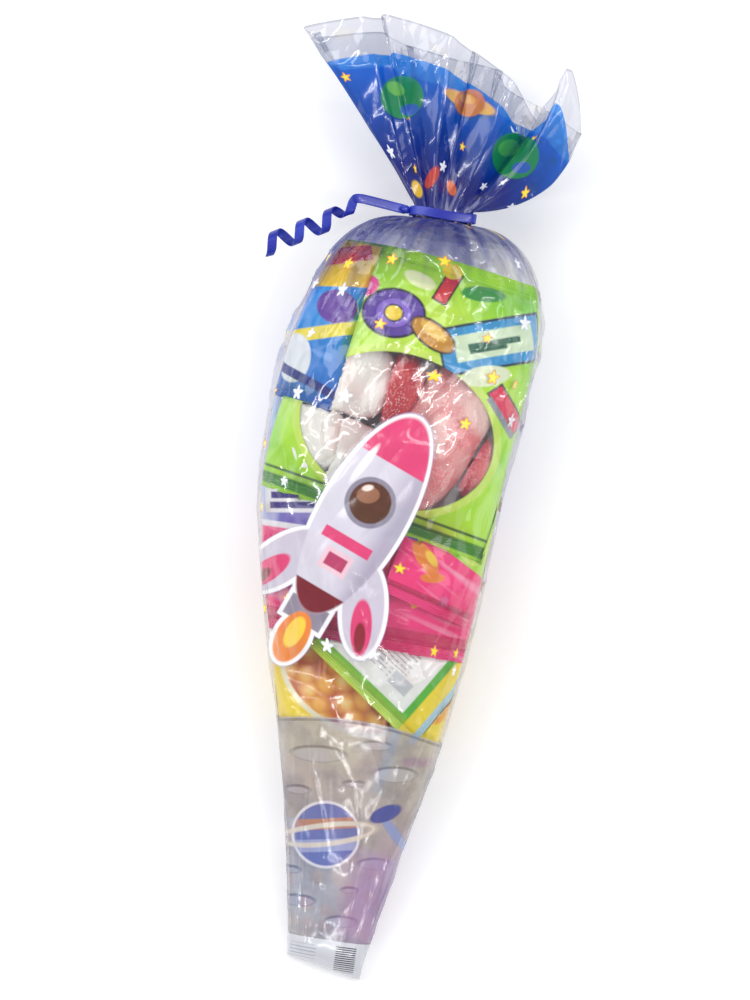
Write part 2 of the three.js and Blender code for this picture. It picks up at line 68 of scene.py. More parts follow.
# %% Grid meshes
def new_object(name, mesh):
    """A shown object at the origin, linked into the scene; attach puts it on the one body."""
    piece = bpy.data.objects.new(name, mesh)
    bpy.context.scene.collection.objects.link(piece)
    return piece


def grid_mesh(name, points, uv, around=False, zipped=(False, False), looped=False):
    """Quads over points[row, column]; uv has one column or row more where the grid meets itself again."""
    rows, columns = points.shape[:2]
    row, column = np.meshgrid(
        np.arange(rows if looped else rows - 1), np.arange(columns if around else columns - 1), indexing="ij"
    )
    row, column = row.ravel(), column.ravel()
    beside, after = (column + 1) % columns, (row + 1) % rows
    here, ahead = row * columns, after * columns
    quads = np.stack([here + column, ahead + column, ahead + beside, here + beside], 1)
    corners = [uv[row, column], uv[row + 1, column], uv[row + 1, column + 1], uv[row, column + 1]]
    faces, face_uv = [quads], [np.stack(corners, 1)]
    half = columns // 2
    for end, wanted in zip((0, rows - 1), zipped):
        if not wanted:
            continue
        k = np.arange(half - 1)
        ring = [k, k + 1, columns - 2 - k, columns - 1 - k]
        if end:
            ring = ring[::-1]
        faces.append(np.stack([end * columns + c for c in ring], 1))
        face_uv.append(np.stack([uv[end, c] for c in ring], 1))
    faces, face_uv = np.concatenate(faces), np.concatenate(face_uv)
    mesh = bpy.data.meshes.new(name)
    mesh.from_pydata(points.reshape(-1, 3).tolist(), [], faces.tolist())
    mesh.uv_layers.new(name="Print").data.foreach_set("uv", face_uv.reshape(-1).astype(np.float32))
    mesh.shade_smooth()
    mesh.update()
    a, b, c, d = points.reshape(-1, 3)[faces].transpose(1, 0, 2)
    volume = ((a * np.cross(b, c)).sum() + (a * np.cross(c, d)).sum()) / 6
    print(name, len(mesh.vertices), "vertices,", round(float(volume) * 1e6, 1), "ml")
    return mesh


# %% [markdown]
# ## Creases
# Thin film never lies smooth. Its creases are sharp ridges between flat facets, which a folded noise
# gives: random heights on a lattice, blended between their corners, then folded over at zero.

# %% Noise for creases
NOISE_SIZE = 64


def lattice_noise(u, v, seed, wrap=NOISE_SIZE):
    """Random heights from -1 to 1 on whole numbers, blended smoothly between; u repeats after wrap."""
    table = np.random.default_rng(seed).uniform(-1, 1, (NOISE_SIZE, NOISE_SIZE))
    iu, iv = np.floor(u).astype(int), np.floor(v).astype(int)
    fu, fv = u - iu, v - iv
    fu, fv = fu * fu * (3 - 2 * fu), fv * fv * (3 - 2 * fv)
    left, right = iu % wrap % NOISE_SIZE, (iu + 1) % wrap % NOISE_SIZE
    low, high = iv % NOISE_SIZE, (iv + 1) % NOISE_SIZE
    bottom = table[left, low] * (1 - fu) + table[right, low] * fu
    top = table[left, high] * (1 - fu) + table[right, high] * fu
    return bottom * (1 - fv) + top * fv


def creases(u, v, seed, wrap=NOISE_SIZE):
    """Folded noise: one minus twice its size, so that its zero lines become sharp ridges."""
    return 1 - 2 * np.abs(lattice_noise(u, v, seed, wrap))


# %% [markdown]
# ## The film bag's form
# The cone is a tube whose cross-section is a superellipse: rounder in front, squarer and pressed flat
# behind. It swells from the tip, and at the shoulder it is gathered into the tie. Above the tie the film
# fans out to a rim that waves from front to back. The numbers are the plain solid's own.

# %% The body's section
BODY_LENGTH, SHOULDER_LENGTH = 406.0, 96.0
BODY_WIDTH, BODY_DEPTH = 135.0, 92.0
TIP_WIDTH, TIP_DEPTH, TOE_LENGTH, TIP_SEAM = 41.0, 17.0, 12.0, 2.0
TIP_SLANT, TIP_SHIFT, NECK_SHIFT = 0.2, 2.0, 6.5
SWAY, SWAY_LENGTH, SWAY_POWER = 10.0, 390.0, 1.75
NECK_WIDTH, NECK_DEPTH, NECK_LENGTH, NECK_HEIGHT = 31.0, 9.0, 7.0, 45.0
FRONT_POWER, BACK_POWER, NECK_POWER = 2.3, 2.8, 2.0
SHOULDER_POWER, SWELL_POWER = 2.5, 1.3
WAIST_LEVEL, FLOOR_SQUASH = 0.46, 0.07
SHOULDER_START = BODY_LENGTH - SHOULDER_LENGTH


def mix(a, b, share):
    """a plus share of the way to b."""
    return a + (b - a) * share


def arch(share, power):
    """Height of a unit superellipse at a share of its half width."""
    return (1 - np.clip(np.abs(share), 0, 1) ** power) ** (1 / power)


def section(y):
    """Centre, half width, lowest, highest, waist height and fullness of the bag at y."""
    swell = np.sin(np.clip(y / SHOULDER_START, 0, 1) * np.pi / 2) ** SWELL_POWER
    full = arch(np.clip((y - SHOULDER_START) / SHOULDER_LENGTH, 0, 1), SHOULDER_POWER)
    toe = arch(1 - np.clip(y / TOE_LENGTH, 0, 1), 2)
    half = mix(NECK_WIDTH, mix(TIP_WIDTH, BODY_WIDTH, swell), full) / 2
    body = mix(TIP_DEPTH, BODY_DEPTH, swell)
    high = mix(NECK_HEIGHT + NECK_DEPTH / 2, mix(TIP_SEAM, body, toe), full)
    low = mix(NECK_HEIGHT - NECK_DEPTH / 2, 0, full)
    bend = np.sin(np.pi * np.clip(y / SWAY_LENGTH, 0, 1) ** SWAY_POWER) ** 2
    centre = mix(TIP_SHIFT, NECK_SHIFT, y / BODY_LENGTH) - SWAY * bend
    return centre, half, low, high, mix(low, high, WAIST_LEVEL), full


def signed_power(value, power):
    """Turns a sine or cosine into a superellipse's."""
    return np.sign(value) * np.abs(value) ** (2 / power)


# %% The frill's rim
RIM = np.array([
    [67, 50, 0, 26], [58, 77, 14, 14], [40, 57, -2, 6], [27, 70, 17, 2],
    [6, 83, 3, 0], [-14, 91, 17, 0], [-38, 96, 3, 0], [-63, 92, 12, 0],
    [-87, 85, 0, 0], [-74, 83, -12, 0], [-50, 88, -4, 0], [-28, 84, -17, 0],
    [-6, 80, -5, 0], [14, 80, -19, 0], [30, 66, -7, 4], [48, 62, -21, 14],
], float)  # right, along, up and bow, from the middle of the tie
NECK_PLEAT = 1.4
FRILL_START, FRILL_LENGTH = BODY_LENGTH + NECK_LENGTH, 105.0
FOLDS, FOLD_START, FOLD_REACH, FOLD_RISE = 7, -1.7, 15.0, 5.0


def closed_curve(control, turn, sharp=0.6):
    """Closed curve through the control rows, a mix of straight folds and a smooth Catmull-Rom curve."""
    place = turn * len(control)
    k = np.floor(place).astype(int)
    t = (place - k)[:, None]
    a, b, c, d = (control[(k + step) % len(control)] for step in (-1, 0, 1, 2))
    smooth = 0.5 * (2 * b + (c - a) * t + (2 * a - 5 * b + 4 * c - d) * t**2 + (3 * b - a - 3 * c + d) * t**3)
    return mix(smooth, mix(b, c, t), sharp)


# %% [markdown]
# ## The film itself
# The sheet is one tube from the tip to the frill's rim. Its creases stand out along the surface's own
# normal: long diagonal pulls on the body, a fan of fine folds that runs down the shoulder from the tie,
# and sharp pleats in the frill. It stays one sheet thick, because real film is 0.04 mm.

# %% Film points
AROUND, BODY_ROWS, SHOULDER_ROWS, TOE_ROWS, NECK_ROWS, FRILL_ROWS = 336, 150, 56, 12, 6, 70
FILM_GIRTH = 0.36  # metres of film round the cone, for the print
TABLE_GAP = 0.15


def frill_folds(turn, rim):
    """Folds that lie over: a wave along the rim, steep enough to turn back, rising as it goes sideways."""
    sideways = np.roll(rim, -1, 0) - np.roll(rim, 1, 0)
    sideways /= np.linalg.norm(sideways, axis=1, keepdims=True)
    face = np.sin(2 * np.pi * turn)
    wave = np.sin(2 * np.pi * FOLDS * turn + FOLD_START) * np.abs(face) ** 0.6
    rise = np.stack([0 * face, 0 * face, np.sign(face)], 1) * FOLD_RISE
    return wave[:, None] * (sideways * FOLD_REACH + rise)


def film_points():
    """Points and print coordinates of the film, rows from the tip to the rim, columns round the bag."""
    turn = (np.arange(AROUND) + 0.5) / AROUND
    angle = 2 * np.pi * turn
    cos, sin = np.cos(angle)[None], np.sin(angle)[None]
    toe = np.linspace(0, 1, TOE_ROWS)[:-1] ** 2 * TOE_LENGTH
    rounding = np.sin(np.linspace(0, np.pi / 2, SHOULDER_ROWS)[1:]) ** (2 / SHOULDER_POWER)
    shoulder = SHOULDER_START + SHOULDER_LENGTH * rounding
    body = np.linspace(TOE_LENGTH, SHOULDER_START, BODY_ROWS - SHOULDER_ROWS)
    y = np.concatenate([toe, body, shoulder])[:, None]
    centre, half, low, high, waist, full = section(y)
    power = mix(NECK_POWER, np.where(sin > 0, FRONT_POWER, BACK_POWER), full)
    reach = np.where(sin > 0, high - waist, waist - low + FLOOR_SQUASH * (high - low))
    x = centre + half * signed_power(cos, power)
    z = np.maximum(low, waist + reach * signed_power(sin, power))
    slant = TIP_SLANT * (1 - np.clip(y / SHOULDER_START, 0, 1)) * (x - centre)
    pleat = -NECK_PLEAT * np.cos(len(RIM) / 2 * angle)[None]
    bag = np.stack([x + pleat * (1 - full) ** 2 * cos, y - slant, z + pleat * (1 - full) ** 2 * sin], -1)

    neck_x = NECK_SHIFT + (NECK_WIDTH / 2 + pleat) * cos
    neck_z = NECK_HEIGHT + (NECK_DEPTH / 2 + pleat) * sin
    rise = np.linspace(0, 1, NECK_ROWS)[1:, None]
    neck = np.stack([neck_x + 0 * rise, BODY_LENGTH + rise * NECK_LENGTH + 0 * neck_x, neck_z + 0 * rise], -1)

    start = neck[-1]
    rim = closed_curve(RIM, turn)
    end = rim[:, :3] + [NECK_SHIFT, FRILL_START, NECK_HEIGHT]
    run = (end - start) * [1, 1, 0]
    run /= np.linalg.norm(run, axis=1, keepdims=True)
    elbow = (start + end) / 2 + np.stack([run[:, 1], -run[:, 0], 0 * run[:, 0]], 1) * rim[:, 3:]
    s = np.linspace(0, 1, FRILL_ROWS + 1)[1:, None, None]
    fan = start * (1 - s) ** 2 + elbow * 2 * s * (1 - s) + end * s**2
    fan = fan + frill_folds(turn, rim[:, :3]) * s**1.3

    points = np.concatenate([bag, neck, fan])
    rows = [y[:, 0], BODY_LENGTH + rise[:, 0] * NECK_LENGTH, FRILL_START + s[:, 0, 0] * FRILL_LENGTH]
    return points, np.concatenate(rows)


def surface_normals(points):
    """Outward unit normals of a grid that runs around, from its neighbours along and across."""
    along = np.gradient(points, axis=0)
    across = np.roll(points, -1, 1) - np.roll(points, 1, 1)
    normal = np.cross(along, across)
    return normal / np.maximum(np.linalg.norm(normal, axis=-1, keepdims=True), 1e-9)


def film_creases(distance):
    """Height of the creases in millimetres, by distance along the film and turn round it."""
    turn = ((np.arange(AROUND) + 0.5) / AROUND)[None]
    y = distance[:, None]
    full = section(np.clip(y, 0, BODY_LENGTH))[5]
    on_body = np.clip((BODY_LENGTH - y) / 40, 0, 1) * np.clip(y / 25, 0, 1)
    drift = 2.2 * lattice_noise(turn * 8, y / 60, 3, 8)
    pulls = creases(turn * 16 + y / 90, y / 75 + drift * 0.3, 11, 16) ** 3
    counter = creases(turn * 13 - y / 60 + 40, y / 48, 5, 13) ** 5
    small = creases(turn * 34 + drift, y / 16, 8, 34) ** 2
    body = on_body * (0.9 * pulls + 0.8 * counter + 0.35 * small - 0.75)
    gather = (1 - full) * np.clip((y - SHOULDER_START) / SHOULDER_LENGTH, 0, 1)
    fan = gather * on_body * 2.8 * creases(turn * 46 + drift * 0.5, y / 70, 21, 46)
    near_shoulder = np.clip((y - SHOULDER_START + 60) / 80, 0, 1) * on_body
    crush = near_shoulder * 2.0 * creases(turn * 22 + drift, y / 17, 31, 22) ** 3
    above = np.clip((y - FRILL_START) / FRILL_LENGTH, 0, 1)
    fold = creases(turn * 26 + drift * 0.4, y / 90, 41, 26)
    edge_fold = creases(turn * 15 + drift * 0.3, y / 34, 43, 15) ** 3
    pleats = above * (fold * (1 - above) + 1.6 * above * edge_fold)
    return body + fan + crush + pleats


# %% Film mesh
points, film_distance = film_points()
wall = surface_normals(points)
heights = film_creases(film_distance)
points = points + wall * heights[..., None]
points[..., 2] = np.maximum(points[..., 2], TABLE_GAP)
turns = np.arange(AROUND + 1) / AROUND
film_uv = np.stack(np.meshgrid(film_distance * MM, turns * FILM_GIRTH, indexing="ij"), -1)[..., ::-1]
film_mesh = grid_mesh("film_bag", to_frame(points), film_uv, around=True, zipped=(True, False))
film = new_object("film_bag", film_mesh)

# %% [markdown]
# ## Inks
# Every print here is flat shapes in flat colours, as on a real printed film: discs, bars and stars that
# lie over each other. Each shape is a few arithmetic nodes on the piece's own millimetres, so its edge
# stays sharp at any distance. This small helper writes such nodes, and keeps the prints readable.

# %% A helper that writes print nodes
def ink(code):
    """A linear colour from a hexadecimal screen colour."""
    channels = [int(code[i:i + 2], 16) / 255 for i in (0, 2, 4)]
    return tuple(c / 12.92 if c <= 0.04045 else ((c + 0.055) / 1.055) ** 2.4 for c in channels) + (1.0,)


class Plate:
    """The nodes of one material, with arithmetic and print shapes as methods."""

    def __init__(self, name):
        self.material = bpy.data.materials.new(name)
        self.material.use_nodes = True
        self.nodes, self.links = self.material.node_tree.nodes, self.material.node_tree.links
        self.nodes.clear()
        self.out = self.nodes.new("ShaderNodeOutputMaterial")

    def add(self, kind, **inputs):
        """A node with inputs set by name: a socket is linked and anything else is its value."""
        node = self.nodes.new(kind)
        for key, value in inputs.items():
            self.feed(node.inputs[key.replace("_", " ")], value)
        return node

    def feed(self, socket, value):
        """Links a socket or sets its value."""
        if isinstance(value, bpy.types.NodeSocket):
            self.links.new(value, socket)
        else:
            socket.default_value = value

    def math(self, operation, *values, clamp=False):
        """One arithmetic node on up to three values."""
        node = self.nodes.new("ShaderNodeMath")
        node.operation, node.use_clamp = operation, clamp
        for socket, value in zip(node.inputs, values):
            self.feed(socket, value)
        return node.outputs[0]

    def total(self, *values):
        """The sum of all values."""
        result = values[0]
        for value in values[1:]:
            result = self.math("ADD", result, value)
        return result

    def largest(self, *values):
        """The largest of all values, which joins masks."""
        result = values[0]
        for value in values[1:]:
            result = self.math("MAXIMUM", result, value)
        return result

    def both(self, a, b):
        """The product of two masks."""
        return self.math("MULTIPLY", a, b)

    def length(self, a, b):
        """The length of a step, the root of its squares' sum."""
        return self.math("SQRT", self.total(self.both(a, a), self.both(b, b)))

    def invert(self, a):
        """One minus a mask."""
        return self.math("SUBTRACT", 1.0, a)

    def ramp(self, value, start, end):
        """0 before start, 1 after end and straight between."""
        node = self.nodes.new("ShaderNodeMapRange")
        node.clamp = True
        for key, number in (("Value", value), ("From Min", start), ("From Max", end)):
            self.feed(node.inputs[key], number)
        return node.outputs["Result"]

    def split(self, vector):
        """The x, y and z of a vector."""
        node = self.add("ShaderNodeSeparateXYZ", Vector=vector)
        return node.outputs[0], node.outputs[1], node.outputs[2]

    def print_mm(self):
        """The piece's own print coordinates in millimetres."""
        uv = self.nodes.new("ShaderNodeUVMap")
        uv.uv_map = "Print"
        x, y, _ = self.split(uv.outputs[0])
        return self.math("MULTIPLY", x, 1 / MM), self.math("MULTIPLY", y, 1 / MM)

    def object_mm(self):
        """Cone millimetres of the shaded point."""
        place = self.nodes.new("ShaderNodeTexCoord").outputs["Object"]
        return tuple(
            self.math("MULTIPLY_ADD", part, 1 / MM, -float(shift))
            for part, shift in zip(self.split(place), TIP_PLACE)
        )

    def turned(self, x, y, centre, degrees):
        """Coordinates from a centre, turned to a shape's own axes."""
        dx, dy = self.math("SUBTRACT", x, centre[0]), self.math("SUBTRACT", y, centre[1])
        c, s = math.cos(math.radians(degrees)), math.sin(math.radians(degrees))
        across = self.math("MULTIPLY_ADD", dy, s, self.math("MULTIPLY", dx, c))
        along = self.math("MULTIPLY_ADD", dx, -s, self.math("MULTIPLY", dy, c))
        return across, along

    def disc(self, x, y, centre, radii, degrees=0.0, edge=0.4):
        """1 inside an oval: the distance from its middle in half widths stays under 1."""
        across, along = self.turned(x, y, centre, degrees)
        across, along = self.math("DIVIDE", across, radii[0]), self.math("DIVIDE", along, radii[1])
        size = self.length(across, along)
        return self.ramp(size, 1 + edge / min(radii), 1 - edge / min(radii))

    def bar(self, x, y, centre, halves, degrees=0.0, edge=0.4):
        """1 inside a rectangle of these half sizes."""
        across, along = self.turned(x, y, centre, degrees)
        masks = [
            self.ramp(self.math("ABSOLUTE", value), half + edge, half - edge)
            for value, half in zip((across, along), halves)
        ]
        return self.both(*masks)

    def shape(self, x, y, form, centre, size, degrees=0.0):
        """A disc or a bar by its form's name."""
        return getattr(self, form)(x, y, centre, size, degrees)

    def star(self, dx, dy, radius, edge=0.3):
        """1 inside a five-pointed star: its edge swings in and out five times round."""
        angle = self.math("ARCTAN2", dx, dy)
        fifth = self.math("MULTIPLY", angle, 5 / (2 * math.pi))
        swing = self.math("PINGPONG", self.math("ADD", fifth, 10.0), 0.5)
        size = self.length(dx, dy)
        limit = self.math("MULTIPLY", radius, self.math("MULTIPLY_ADD", swing, -1.15, 1.0))
        return self.ramp(self.math("SUBTRACT", size, limit), edge, -edge)

    def scatter(self, x, y, cell, seed):
        """Random centres a cell apart: coordinates from the nearest, and its three random numbers."""
        x, y = self.math("ADD", x, 37.0 * seed), self.math("ADD", y, 61.0 * seed)
        shifted = self.add("ShaderNodeCombineXYZ", X=x, Y=y)
        cells = self.add("ShaderNodeTexVoronoi", Vector=shifted.outputs[0], Scale=1 / cell, Randomness=0.75)
        cells.voronoi_dimensions = "2D"
        offset = self.nodes.new("ShaderNodeVectorMath")
        offset.operation = "SUBTRACT"
        self.links.new(shifted.outputs[0], offset.inputs[0])
        self.links.new(cells.outputs["Position"], offset.inputs[1])
        dx, dy, _ = self.split(offset.outputs[0])
        chance = self.add("ShaderNodeSeparateColor", Color=cells.outputs["Color"])
        return dx, dy, chance.outputs[0], chance.outputs[1], chance.outputs[2]

    def over(self, below, colour, mask):
        """Prints a colour over what is below, where the mask is 1."""
        node = self.nodes.new("ShaderNodeMix")
        node.data_type = "RGBA"
        self.feed(node.inputs[0], mask)
        self.feed(node.inputs[6], below)
        self.feed(node.inputs[7], colour)
        return node.outputs[2]

    def bump(self, height, strength, distance):
        """A bump of a height field, in millimetres."""
        node = self.add("ShaderNodeBump", Height=height, Strength=strength, Distance=distance * MM)
        return node.outputs[0]

    def noise(self, scale, detail=3.0, roughness=0.55):
        """Noise on the piece's own place, with this many bumps a metre."""
        place = self.nodes.new("ShaderNodeTexCoord").outputs["Object"]
        return self.noise_at(place, scale, detail, roughness)

    def noise_at(self, place, scale, detail, roughness=0.5):
        """Noise on any place."""
        node = self.add("ShaderNodeTexNoise", Vector=place, Scale=scale, Detail=detail, Roughness=roughness)
        return node.outputs[0]

    def streaks(self, x, y):
        """Noise on a place of one's own scale along x and y, which draws it out into streaks."""
        place = self.add("ShaderNodeCombineXYZ", X=x, Y=y)
        return self.noise_at(place.outputs[0], 1.0, 2.0)

    def solid(self, colour, roughness, normal, **inputs):
        """A solid surface with a colour, roughness and normal, and any further inputs."""
        kind = "ShaderNodeBsdfPrincipled"
        return self.add(kind, Base_Color=colour, Roughness=roughness, Normal=normal, **inputs)

    def clear_film(self, tint, roughness, normal, share, least):
        """Clear film: light passes with a tint, and more of it glances off where the film is seen flat."""
        gloss = self.add("ShaderNodeBsdfGlossy", Color=(1, 1, 1, 1), Roughness=roughness, Normal=normal)
        through = self.add("ShaderNodeBsdfTransparent", Color=tint)
        facing = self.add("ShaderNodeLayerWeight", Blend=0.3, Normal=normal)
        glance = self.math("MULTIPLY_ADD", facing.outputs["Fresnel"], share, least, clamp=True)
        return self.blend(glance, through.outputs[0], gloss.outputs[0])

    def blend(self, share, first, second):
        """Two shaders mixed by a share of the second."""
        node = self.add("ShaderNodeMixShader", Fac=share)
        self.links.new(first, node.inputs[1])
        self.links.new(second, node.inputs[2])
        return node.outputs[0]

    def finish(self, shader):
        """Sends a shader to the output and returns the material."""
        self.links.new(shader, self.out.inputs[0])
        return self.material


def layers(plate, x, y, base, shapes):
    """Prints shapes in turn over a base colour: form, place, size, turn and colour of each."""
    colour = base
    for *shape, code in shapes:
        colour = plate.over(colour, ink(code), plate.shape(x, y, *shape))
    return colour


print("print helper ready")

# %% [markdown]
# ## The film's print
# The film is clear. Towards the tie it is printed blue, with stars and plain green planets, and the last
# stretch of the frill is bare. Ink on clear film works as a filter: where two layers lie over each other
# the blue deepens, which draws the folds. Over the tip a moon is printed in milky grey, thin enough to
# show the pack behind it, and a rocket with a white edge stands on the front. The bag is printed in four
# fields, so that no point carries shapes that lie far from it.

# %% Clear film under ink
CRUMPLES = (
    (0.5, 0.13, 30.0, 1.0), (-0.6, 0.16, 50.0, 0.5), (0.1, 0.22, 90.0, 0.1),
)  # lean, stretch, folds a metre, share


def crumple(plate):
    """Creases of film: noise folded at its middle and stretched three ways into long lines."""
    x, y, z = plate.split(plate.nodes.new("ShaderNodeTexCoord").outputs["Object"])
    folds = []
    for lean, stretch, scale, share in CRUMPLES:
        across = plate.math("MULTIPLY_ADD", y, lean, x)
        along = plate.both(plate.math("MULTIPLY_ADD", x, -lean, y), stretch)
        place = plate.add("ShaderNodeCombineXYZ", X=across, Y=along, Z=z)
        noise = plate.noise_at(place.outputs[0], scale, 1.0, 0.4)
        folds.append(plate.both(plate.math("ABSOLUTE", plate.math("SUBTRACT", noise, 0.5)), share))
    return plate.total(*folds)


def inked_film(plate, colour, weight, tint, crush=12.0):
    """See-through film of a tint with gloss on it, and solid ink in front of it by its weight."""
    crinkle = plate.bump(plate.both(crumple(plate), crush), 1.0, 1.0)
    clear = plate.clear_film(tint, 0.09, crinkle, 0.36, 0.045)
    solid = plate.solid(colour, 0.2, crinkle, Coat_Weight=0.5, Coat_Roughness=0.06)
    return plate.finish(plate.blend(weight, clear, solid.outputs[0]))


# %% Sky and stars
FILM_BARE = 0.8
CLEAR, HAZE = ink("fbfbfa"), 0.02
WHITE_EDGE = 2.4


def sky_print(plate, u, v, x):
    """Blue that deepens towards the tie: its colour, its filter and its streaky cover."""
    above = plate.ramp(v, FRILL_START, FRILL_START + FRILL_LENGTH)
    colour = plate.over(ink("0a2088"), ink("1c7ce0"), plate.ramp(above, 0.2, 0.85))
    colour = plate.over(colour, ink("8a8fe0"), plate.ramp(v, 402.0, 350.0))
    filter_ink = plate.over(ink("2038b0"), ink("4c9cec"), plate.ramp(above, 0.15, 0.8))
    filter_ink = plate.over(filter_ink, ink("b4b8f0"), plate.ramp(v, 405.0, 350.0))
    pulled = plate.streaks(plate.both(u, 0.09), plate.both(v, 0.012))
    drift = plate.both(plate.math("SUBTRACT", pulled, 0.5), 130.0)
    fade = plate.total(v, drift, plate.both(x, -0.3))
    bare = plate.ramp(above, FILM_BARE - 0.004, FILM_BARE + 0.004)
    return colour, filter_ink, plate.both(plate.ramp(fade, 372.0, 432.0), plate.invert(bare))


def stars_print(plate, u, v, below):
    """Yellow stars with an orange edge and some white ones: the new colour and the stars' mask."""
    dx, dy, keep, kind, size = plate.scatter(u, v, 27.0, 1)
    shown = plate.ramp(keep, 0.30, 0.31)
    radius = plate.math("MULTIPLY_ADD", size, 1.6, 3.0)
    body = plate.both(plate.star(dx, dy, radius), shown)
    core = plate.both(plate.star(dx, dy, plate.math("SUBTRACT", radius, 1.1)), shown)
    yellow = plate.over(ink("f0a01e"), ink("ffe83a"), core)
    star_ink = plate.over(yellow, ink("f7f9ff"), plate.ramp(kind, 0.66, 0.67))
    return plate.over(below, star_ink, body), body


def frill_material():
    """The frill: sky as filter and ink, stars, two green planets, a ringed one, and a bare edge."""
    plate = Plate("film_frill")
    u, v = plate.print_mm()
    x, y, _ = plate.object_mm()
    colour, filter_ink, cover = sky_print(plate, u, v, x)
    edge = plate.ramp(v, FRILL_START + 0.985 * FRILL_LENGTH, FRILL_START + FRILL_LENGTH)
    tint = plate.over(plate.over(ink("e6e6e9"), ink("bcbcc2"), edge), filter_ink, cover)
    colour, stars = stars_print(plate, u, v, colour)
    shapes = [
        ("disc", (40.0, 446.0), (12.5, 12.5), 0.0, "178a45"),
        ("disc", (36.0, 450.0), (6.0, 4.0), 30.0, "4fb648"),
        ("disc", (44.0, 440.0), (5.0, 3.0), 10.0, "2a5fb8"),
        ("disc", (-24.0, 468.0), (11.5, 11.5), 0.0, "1d8f4c"),
        ("disc", (-28.0, 472.0), (5.0, 3.4), -20.0, "6cc04a"),
        ("disc", (-19.0, 462.0), (5.0, 3.0), 15.0, "2f66c0"),
        ("disc", (12.0, 470.0), (15.0, 4.2), -16.0, "f0b84a"),
        ("disc", (12.0, 470.0), (8.0, 7.4), 0.0, "d9822a"),
        ("disc", (10.5, 472.0), (4.4, 2.4), -16.0, "f2b04a"),
        ("disc", (-2.0, 428.0), (3.0, 6.5), -20.0, "d8452c"),
        ("disc", (-9.0, 421.0), (2.6, 5.0), 30.0, "f0c21e"),
        ("disc", (9.0, 424.0), (2.4, 4.4), 24.0, "e8702a"),
    ]
    solid = plate.both(stars, cover)
    for *shape, code in shapes:
        mask = plate.shape(x, y, *shape)
        colour = plate.over(colour, ink(code), mask)
        solid = plate.largest(solid, plate.both(mask, 0.8))
    weight = plate.largest(plate.both(cover, 0.44), plate.both(solid, 0.9), 0.05)
    return inked_film(plate, colour, plate.math("MAXIMUM", weight, HAZE), tint)


def rocket_print(plate, x, y, base):
    """A rocket on the front, nose to the upper right: parts in turn over a white edge."""
    x, y = plate.turned(x, y, (-16.0, 236.0), -22.0)
    outline = [
        ("disc", (0.0, 10.0), (22.0, 58.0), 0.0), ("disc", (-25.0, -32.0), (11.0, 25.0), -26.0),
        ("disc", (25.0, -32.0), (11.0, 25.0), 26.0), ("bar", (0.0, -49.0), (11.0, 6.0), 0.0),
        ("disc", (0.0, -64.0), (8.5, 15.0), 0.0),
    ]
    edge = plate.largest(*[
        plate.shape(x, y, form, at, (half + WHITE_EDGE, length + WHITE_EDGE), turn)
        for form, at, (half, length), turn in outline
    ])
    body = plate.disc(x, y, *outline[0][1:])
    colour = plate.over(base, ink("fbfbfd"), edge)
    for part, code in zip(outline[1:], ("cfcadb", "cfcadb", "8f8a9c", "f08a3c")):
        colour = plate.over(colour, ink(code), plate.shape(x, y, *part))
    colour = plate.over(colour, ink("ffd84a"), plate.disc(x, y, (0.0, -61.0), (4.5, 9.0)))
    colour = plate.over(colour, ink("dcd8e6"), body)
    colour = plate.over(colour, ink("b3adc2"), plate.both(body, plate.ramp(x, 4.0, 17.0)))
    colour = plate.over(colour, ink("e2457a"), plate.both(body, plate.ramp(y, 40.6, 41.4)))
    colour = plate.over(colour, ink("7a1f2b"), plate.both(body, plate.ramp(y, -33.6, -34.4)))
    details = [
        ("disc", (-29.0, -41.0), (5.6, 15.0), -26.0, "e2457a"),
        ("disc", (29.0, -41.0), (5.6, 15.0), 26.0, "e2457a"),
        ("disc", (-31.0, -46.0), (3.0, 8.0), -26.0, "8a2430"),
        ("disc", (31.0, -46.0), (3.0, 8.0), 26.0, "8a2430"),
        ("disc", (0.0, 18.0), (13.5, 13.5), 0.0, "8f8a9c"),
        ("disc", (0.0, 18.0), (11.0, 11.0), 0.0, "5b3426"),
        ("disc", (-3.0, 21.0), (6.0, 4.4), 30.0, "9b6a50"),
        ("disc", (-5.0, 24.0), (3.0, 1.6), 40.0, "f4e6dc"),
        ("bar", (0.0, -6.0), (14.0, 3.0), 0.0, "e2457a"), ("bar", (0.0, -18.0), (8.0, 6.0), 0.0, "f3cbd8"),
        ("bar", (0.0, -18.0), (5.6, 3.6), 0.0, "b9406a"),
        ("disc", (-13.0, 34.0), (2.2, 12.0), -8.0, "f7f5fb"),
    ]
    return layers(plate, x, y, colour, details), edge


def body_material(front):
    """The bag's front or back: the end of the sky, stars, and on the front the rocket."""
    plate = Plate("film_front" if front else "film_back")
    u, v = plate.print_mm()
    x, y, _ = plate.object_mm()
    colour, filter_ink, cover = sky_print(plate, u, v, x)
    tint = plate.over(CLEAR, filter_ink, cover)
    colour, stars = stars_print(plate, u, v, colour)
    solid = plate.both(stars, plate.ramp(y, 148.0, 152.0))
    if front:
        colour, rocket = rocket_print(plate, x, y, colour)
        solid = plate.largest(solid, rocket)
    weight = plate.largest(plate.both(cover, 0.22), plate.both(solid, 0.93))
    shoulder = plate.both(plate.ramp(y, 270.0, 330.0), plate.ramp(x, 0.0, 30.0))
    crush = plate.math("MULTIPLY_ADD", shoulder, 12.0, 12.0)
    return inked_film(plate, colour, plate.math("MAXIMUM", weight, HAZE), tint, crush)


